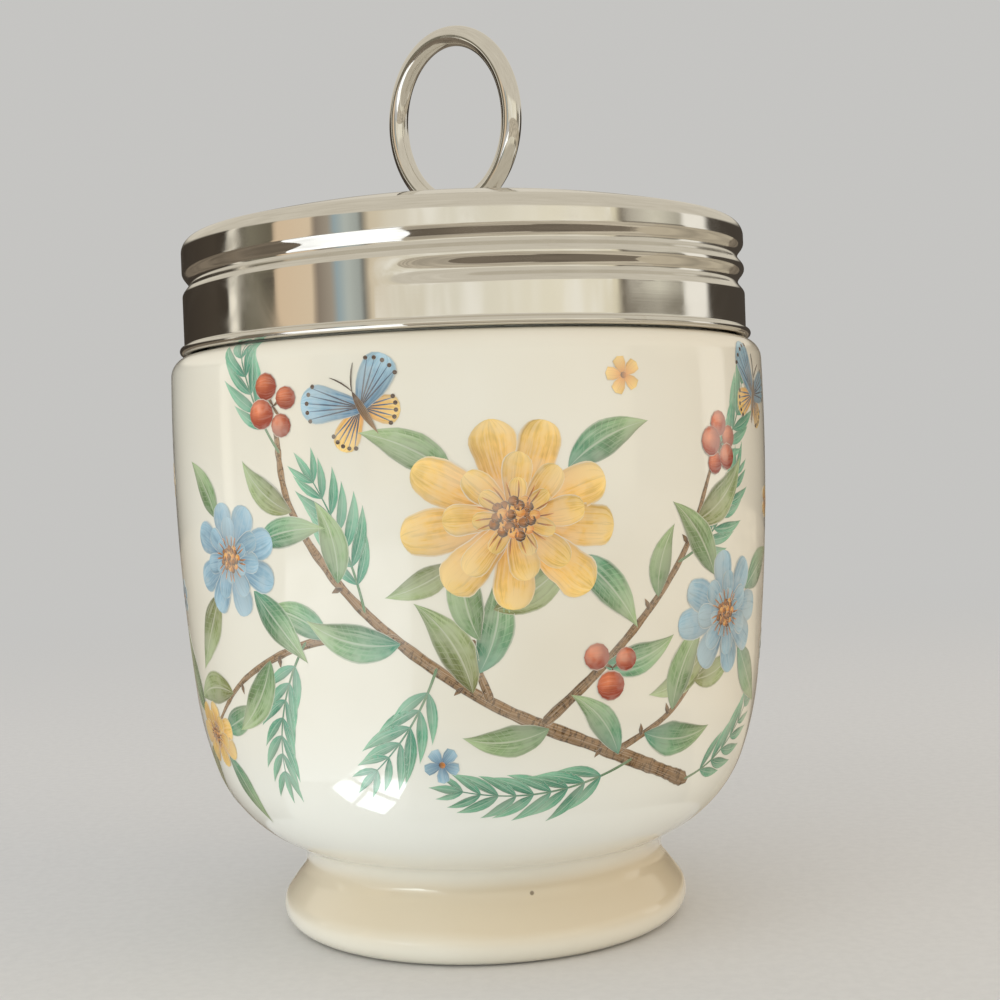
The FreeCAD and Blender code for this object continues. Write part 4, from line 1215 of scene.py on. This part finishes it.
# What the metal reflects, by azimuth in degrees: 0 is behind the camera, and 90 its right.
ROOM_TONES = (
    (-180, (0.30, 0.28, 0.25)), (-168, (0.06, 0.05, 0.04)), (-150, (0.045, 0.036, 0.028)),
    (-113, (0.07, 0.056, 0.042)), (-102.3, (0.05, 0.04, 0.03)), (-101, (1.0, 0.94, 0.80)),
    (-96.5, (1.0, 0.94, 0.80)), (-95, (0.12, 0.105, 0.08)), (-88, (0.22, 0.20, 0.145)),
    (-76, (0.16, 0.14, 0.10)), (-74, (0.76, 0.59, 0.41)), (-59, (0.78, 0.63, 0.45)),
    (-57, (0.28, 0.23, 0.18)), (-50, (0.40, 0.35, 0.28)), (-48, (0.34, 0.43, 0.46)),
    (-43, (0.52, 0.56, 0.52)), (-37.5, (0.40, 0.43, 0.40)), (-36, (0.11, 0.095, 0.075)),
    (-34.5, (0.72, 0.62, 0.46)), (-25, (0.76, 0.70, 0.56)), (0, (0.82, 0.78, 0.65)),
    (40, (0.90, 0.84, 0.67)), (62, (0.80, 0.73, 0.55)), (64, (0.13, 0.105, 0.08)),
    (67, (0.50, 0.46, 0.38)), (81, (0.74, 0.70, 0.58)), (95, (0.46, 0.43, 0.35)),
    (98, (0.98, 0.94, 0.85)), (110, (0.98, 0.94, 0.85)), (113, (0.07, 0.058, 0.045)),
    (168, (0.06, 0.05, 0.04)),
)
PALE_WALL = (-33.0, 60.0)
LEFT_FRAME = (-95.0, -75.0)
RIGHT_FRAME = (64.0, 96.0)
# Heights in the room, in metres.
LINTEL = (0.1375, 0.1415)
UNDER_LINTEL = (0.132, 0.120)
OVERHEAD = (0.19, 0.26)
# What it reflects of the floor, between two azimuths: near and far ends, in mm, and tone.
FLOOR_TONES = (
    ("bright_card", -70.0, -21.0, 46.0, 300.0, (1.4, 1.42, 1.4)),
    ("front_dark_card", -21.0, 30.0, 30.5, 71.0, (0.17, 0.14, 0.105)),
    ("front_card", -21.0, 30.0, 71.0, 710.0, (0.52, 0.46, 0.36)),
    ("right_dark_card", 30.0, 80.0, 30.5, 84.0, (0.17, 0.14, 0.105)),
    ("right_card", 30.0, 80.0, 84.0, 710.0, (0.52, 0.46, 0.36)),
    ("side_card", 80.0, 140.0, 30.5, 710.0, (0.46, 0.40, 0.30)),
    ("back_card", 140.0, 290.0, 30.5, 710.0, (0.19, 0.155, 0.115)),
)
# Place, aim, size, share of the key light's power, and tint.
LAMPS = {
    "key": ((-0.30, -0.34, 0.36), (0.0, 0.0, 0.045), (0.30, 0.30), 0.5, (1.0, 0.98, 0.94)),
    "side": ((-0.44, -0.12, 0.05), (0.0, 0.0, 0.045), (0.30, 0.12), 1.3, (0.94, 0.98, 1.0)),
    "low": ((-0.10, -0.40, 0.004), (0.0, 0.0, 0.02), (0.40, 0.04), 1.3, (0.84, 0.97, 1.0)),
    "fill": ((0.44, -0.13, 0.16), (0.0, 0.0, 0.045), (0.30, 0.30), 1.25, (1.0, 0.80, 0.53)),
}
# Sizes of the stage, in millimetres.
FLOOR_REACH, FLOOR_RINGS, STAGE_COLUMNS = 3000.0, 24, 96
ROOM_REACH, ROOM_LOW, ROOM_HIGH = 700.0, -50.0, 620.0
CARD_LIFT, CARD_STEPS = 0.8, 24
WINDOW_PLACE, WINDOW_SIZE, WINDOW_BAR = (-24.4, -35.7), (15.8, 12.8), 1.1
# Distances in metres, from bare floor to bare backdrop.
FLOOR_BLEND = (0.09, 0.40)
CAMERA_PLACE = (0.0028, -0.1574, 0.0444)
CAMERA_PITCH = math.radians(1.312)
CAMERA_ROLL = math.radians(2.05)


def scaled(tone, share):
    """A tone made darker or lighter, as an opaque colour."""
    return (*[part * share for part in tone], 1)


def show_only_in_reflections(obj, material, nodes, tone, strength=1.0):
    nodes.show(nodes.add("Emission", {"Color": tone, "Strength": strength}))
    wear(obj, material)
    for other_ray in ("camera", "diffuse", "transmission", "volume_scatter", "shadow"):
        setattr(obj, "visible_" + other_ray, False)


class CODDLER_OT_stage(bpy.types.Operator):
    """Make the pale floor, the soft lamps and the camera"""
    bl_idname = "coddler.stage"
    bl_label = "Stage"

    def execute(self, context):
        settings = context.scene.coddler_stage
        scene = context.scene
        scene.view_settings.view_transform = "Standard"
        self.make_floor(settings)
        self.make_world(scene, settings)
        self.make_lamps(scene, settings)
        self.make_room()
        self.make_floor_cards()
        self.make_window()
        self.make_camera(scene, settings)
        return {"FINISHED"}

    def make_floor(self, settings):
        """A disc that blends into the backdrop. Its rings lie closer near the middle."""
        points = [(FLOOR_REACH * (ring / FLOOR_RINGS) ** 2, 0.0) for ring in range(FLOOR_RINGS + 1)]
        floor = turned_object("floor", points, STAGE_COLUMNS)
        material, nodes = new_material("pale_floor")
        place = nodes.place()
        grain = nodes.spread(nodes.noise(place, 900.0, 4.0, 0.6), 0.3, 0.7)
        tone = nodes.mix(grain, (*settings.floor, 1), scaled(settings.floor, 0.96))
        matt = nodes.add("BsdfPrincipled", {"Base Color": tone, "Roughness": 1.0,
                                            "Specular IOR Level": 0.0})
        glow = nodes.add("Emission", {"Color": (*settings.backdrop, 1)})
        away = nodes.spread(nodes.distance(place, (0.0, 0.0, 0.0)), *FLOOR_BLEND)
        nodes.show(nodes.add("MixShader", {0: away, 1: matt, 2: glow}))
        wear(floor, material)

    def make_room(self):
        """A round wall and ceiling that only reflections see, dark and light like a room."""
        points = [(ROOM_REACH, ROOM_LOW), (ROOM_REACH, ROOM_HIGH), (0.0, ROOM_HIGH)]
        room = turned_object("room_wall", points, STAGE_COLUMNS)
        material, nodes = new_material("room_wall")
        place = nodes.place()
        across, ahead, height = nodes.split(place)
        azimuth = nodes.math("DEGREES", nodes.math("ARCTAN2", across, ahead * -1.0))
        azimuth = azimuth + nodes.spread(nodes.noise(place, 3.2), 0.3, 0.7, -1.2, 1.2)
        tones = nodes.add("ValToRGB", {0: nodes.math("DIVIDE", azimuth + 180.0, 360.0)})
        stops = tones.socket.node.color_ramp.elements
        stops[0].color = stops[1].color = (*ROOM_TONES[0][1], 1)
        for degrees, shade in ROOM_TONES[1:]:
            stops.new((degrees + 180) / 360).color = (*shade, 1)
        cloud = nodes.noise(place, 6.5, 3.0)
        clouded = nodes.spread(cloud, 0.42, 0.62, 0.0, 0.7) * azimuth.between(*PALE_WALL)
        tone = nodes.mix(clouded, tones, (1.0, 0.97, 0.88, 1))
        right = azimuth.between(*RIGHT_FRAME)
        under = right * nodes.spread(height, *UNDER_LINTEL, 0.0, 0.75)
        tone = nodes.mix(under, tone, (0.16, 0.135, 0.10, 1))
        lintel = (azimuth.between(*LEFT_FRAME) + right) * height.between(*LINTEL)
        tone = nodes.mix(lintel, tone, (0.09, 0.075, 0.06, 1))
        overhead = nodes.mix(cloud, (0.54, 0.49, 0.40, 1), (0.78, 0.73, 0.62, 1))
        tone = nodes.mix(nodes.spread(height, *OVERHEAD), tone, overhead)
        show_only_in_reflections(room, material, nodes, tone)

    def make_floor_cards(self):
        """Parts of a ring on the floor, each of its own tone, that only reflections see."""
        numbers = np.arange(2 * (CARD_STEPS + 1)).reshape(2, -1)
        for name, first, last, near, far, tone in FLOOR_TONES:
            turns = np.radians(np.linspace(first, last, CARD_STEPS + 1))
            vertices = [(reach * math.sin(turn), -reach * math.cos(turn), CARD_LIFT)
                        for reach in (near, far) for turn in turns]
            card = mesh_object(name, vertices, grid_faces(numbers, wrapped=False))
            material, nodes = new_material(name)
            patchy = nodes.spread(nodes.noise(nodes.place(), 16.0), 0.35, 0.65)
            patched = nodes.mix(patchy, scaled(tone, 0.8), scaled(tone, 1.25))
            show_only_in_reflections(card, material, nodes, patched)

    def make_window(self):
        """A small bright window that only reflections see, on the floor in front on the left."""
        vertices = []
        for left in (-1, 1):
            for low in (-1, 1):
                for x, y in ((0, 0), (1, 0), (1, 1), (0, 1)):
                    across = left * (WINDOW_SIZE[0] if x else WINDOW_BAR) / 2
                    ahead = low * (WINDOW_SIZE[1] if y else WINDOW_BAR) / 2
                    vertices.append((WINDOW_PLACE[0] + across, WINDOW_PLACE[1] + ahead, CARD_LIFT))
        window = mesh_object("window", vertices, np.arange(16).reshape(4, 4).tolist())
        material, nodes = new_material("window_light")
        show_only_in_reflections(window, material, nodes, (0.86, 0.97, 1.0, 1), 6.5)

    def make_world(self, scene, settings):
        world = bpy.data.worlds.new("studio")
        scene.world = world
        world.use_nodes = True
        nodes = Nodes(world.node_tree)
        camera, glossy, clear = (nodes.add("LightPath", output=f"Is {kind} Ray")
                                 for kind in ("Camera", "Glossy", "Transmission"))
        seen = camera.at_least(glossy).at_least(clear)
        shown = nodes.add("Background", {"Color": (*settings.backdrop, 1)})
        lit = nodes.add("Background", {"Color": (1, 1, 1, 1), "Strength": settings.ambient})
        nodes.show(nodes.add("MixShader", {0: seen, 1: lit, 2: shown}), "World")

    def make_lamps(self, scene, settings):
        """Soft lamps that reflections don't see."""
        for name, (place, aim, size, share, tint) in LAMPS.items():
            data = bpy.data.lights.new(name, "AREA")
            data.shape = "RECTANGLE"
            data.size, data.size_y = size
            data.energy = settings.key_power * share
            data.color = tint
            lamp = bpy.data.objects.new(name, data)
            scene.collection.objects.link(lamp)
            lamp.location = place
            lamp.rotation_euler = (Vector(aim) - Vector(place)).to_track_quat("-Z", "Y").to_euler()
            lamp.visible_glossy = False

    def make_camera(self, scene, settings):
        data = bpy.data.cameras.new("camera")
        data.lens = settings.lens
        data.sensor_width = 36.0
        data.clip_start = 0.01
        camera = bpy.data.objects.new("camera", data)
        scene.collection.objects.link(camera)
        camera.matrix_world = (Matrix.Translation(CAMERA_PLACE)
                               @ Matrix.Rotation(math.pi / 2 - CAMERA_PITCH, 4, "X")
                               @ Matrix.Rotation(-CAMERA_ROLL, 4, "Z"))
        scene.camera = camera


class CODDLER_PT_pieces(bpy.types.Panel):
    """The coddler's pieces and settings"""
    bl_idname = "CODDLER_PT_pieces"
    bl_label = "Egg coddler"
    bl_space_type = "VIEW_3D"
    bl_region_type = "UI"
    bl_category = "Coddler"

    def draw(self, context):
        for name in SETTINGS:
            settings = getattr(context.scene, name)
            box = self.layout.box()
            for key in settings.__annotations__:
                box.prop(settings, key)
        for operator in PIECES:
            self.layout.operator(operator.bl_idname)


SETTINGS = {"coddler_cup": CupSettings, "coddler_paint": PaintSettings,
            "coddler_lid": LidSettings, "coddler_stage": StageSettings}
PIECES = (CODDLER_OT_cup, CODDLER_OT_twigs, CODDLER_OT_leaves, CODDLER_OT_flowers,
          CODDLER_OT_berries, CODDLER_OT_butterflies, CODDLER_OT_lid, CODDLER_OT_finger_ring,
          CODDLER_OT_fixing, CODDLER_OT_stage)
CLASSES = (*SETTINGS.values(), *PIECES, CODDLER_PT_pieces)


def register():
    for each in CLASSES:
        bpy.utils.register_class(each)
    for name, kind in SETTINGS.items():
        setattr(bpy.types.Scene, name, bpy.props.PointerProperty(type=kind))


def unregister():
    for name in SETTINGS:
        delattr(bpy.types.Scene, name)
    for each in reversed(CLASSES):
        bpy.utils.unregister_class(each)


def main():
    register()
    make_glaze_group()
    make_plate_group()
    make_enamel_group()
    bpy.ops.coddler.cup()
    bpy.ops.coddler.twigs()
    bpy.ops.coddler.leaves()
    bpy.ops.coddler.flowers()
    bpy.ops.coddler.berries()
    bpy.ops.coddler.butterflies()
    bpy.ops.coddler.lid()
    bpy.ops.coddler.finger_ring()
    bpy.ops.coddler.fixing()
    bpy.ops.coddler.stage()


if __name__ == "__main__":
    main()
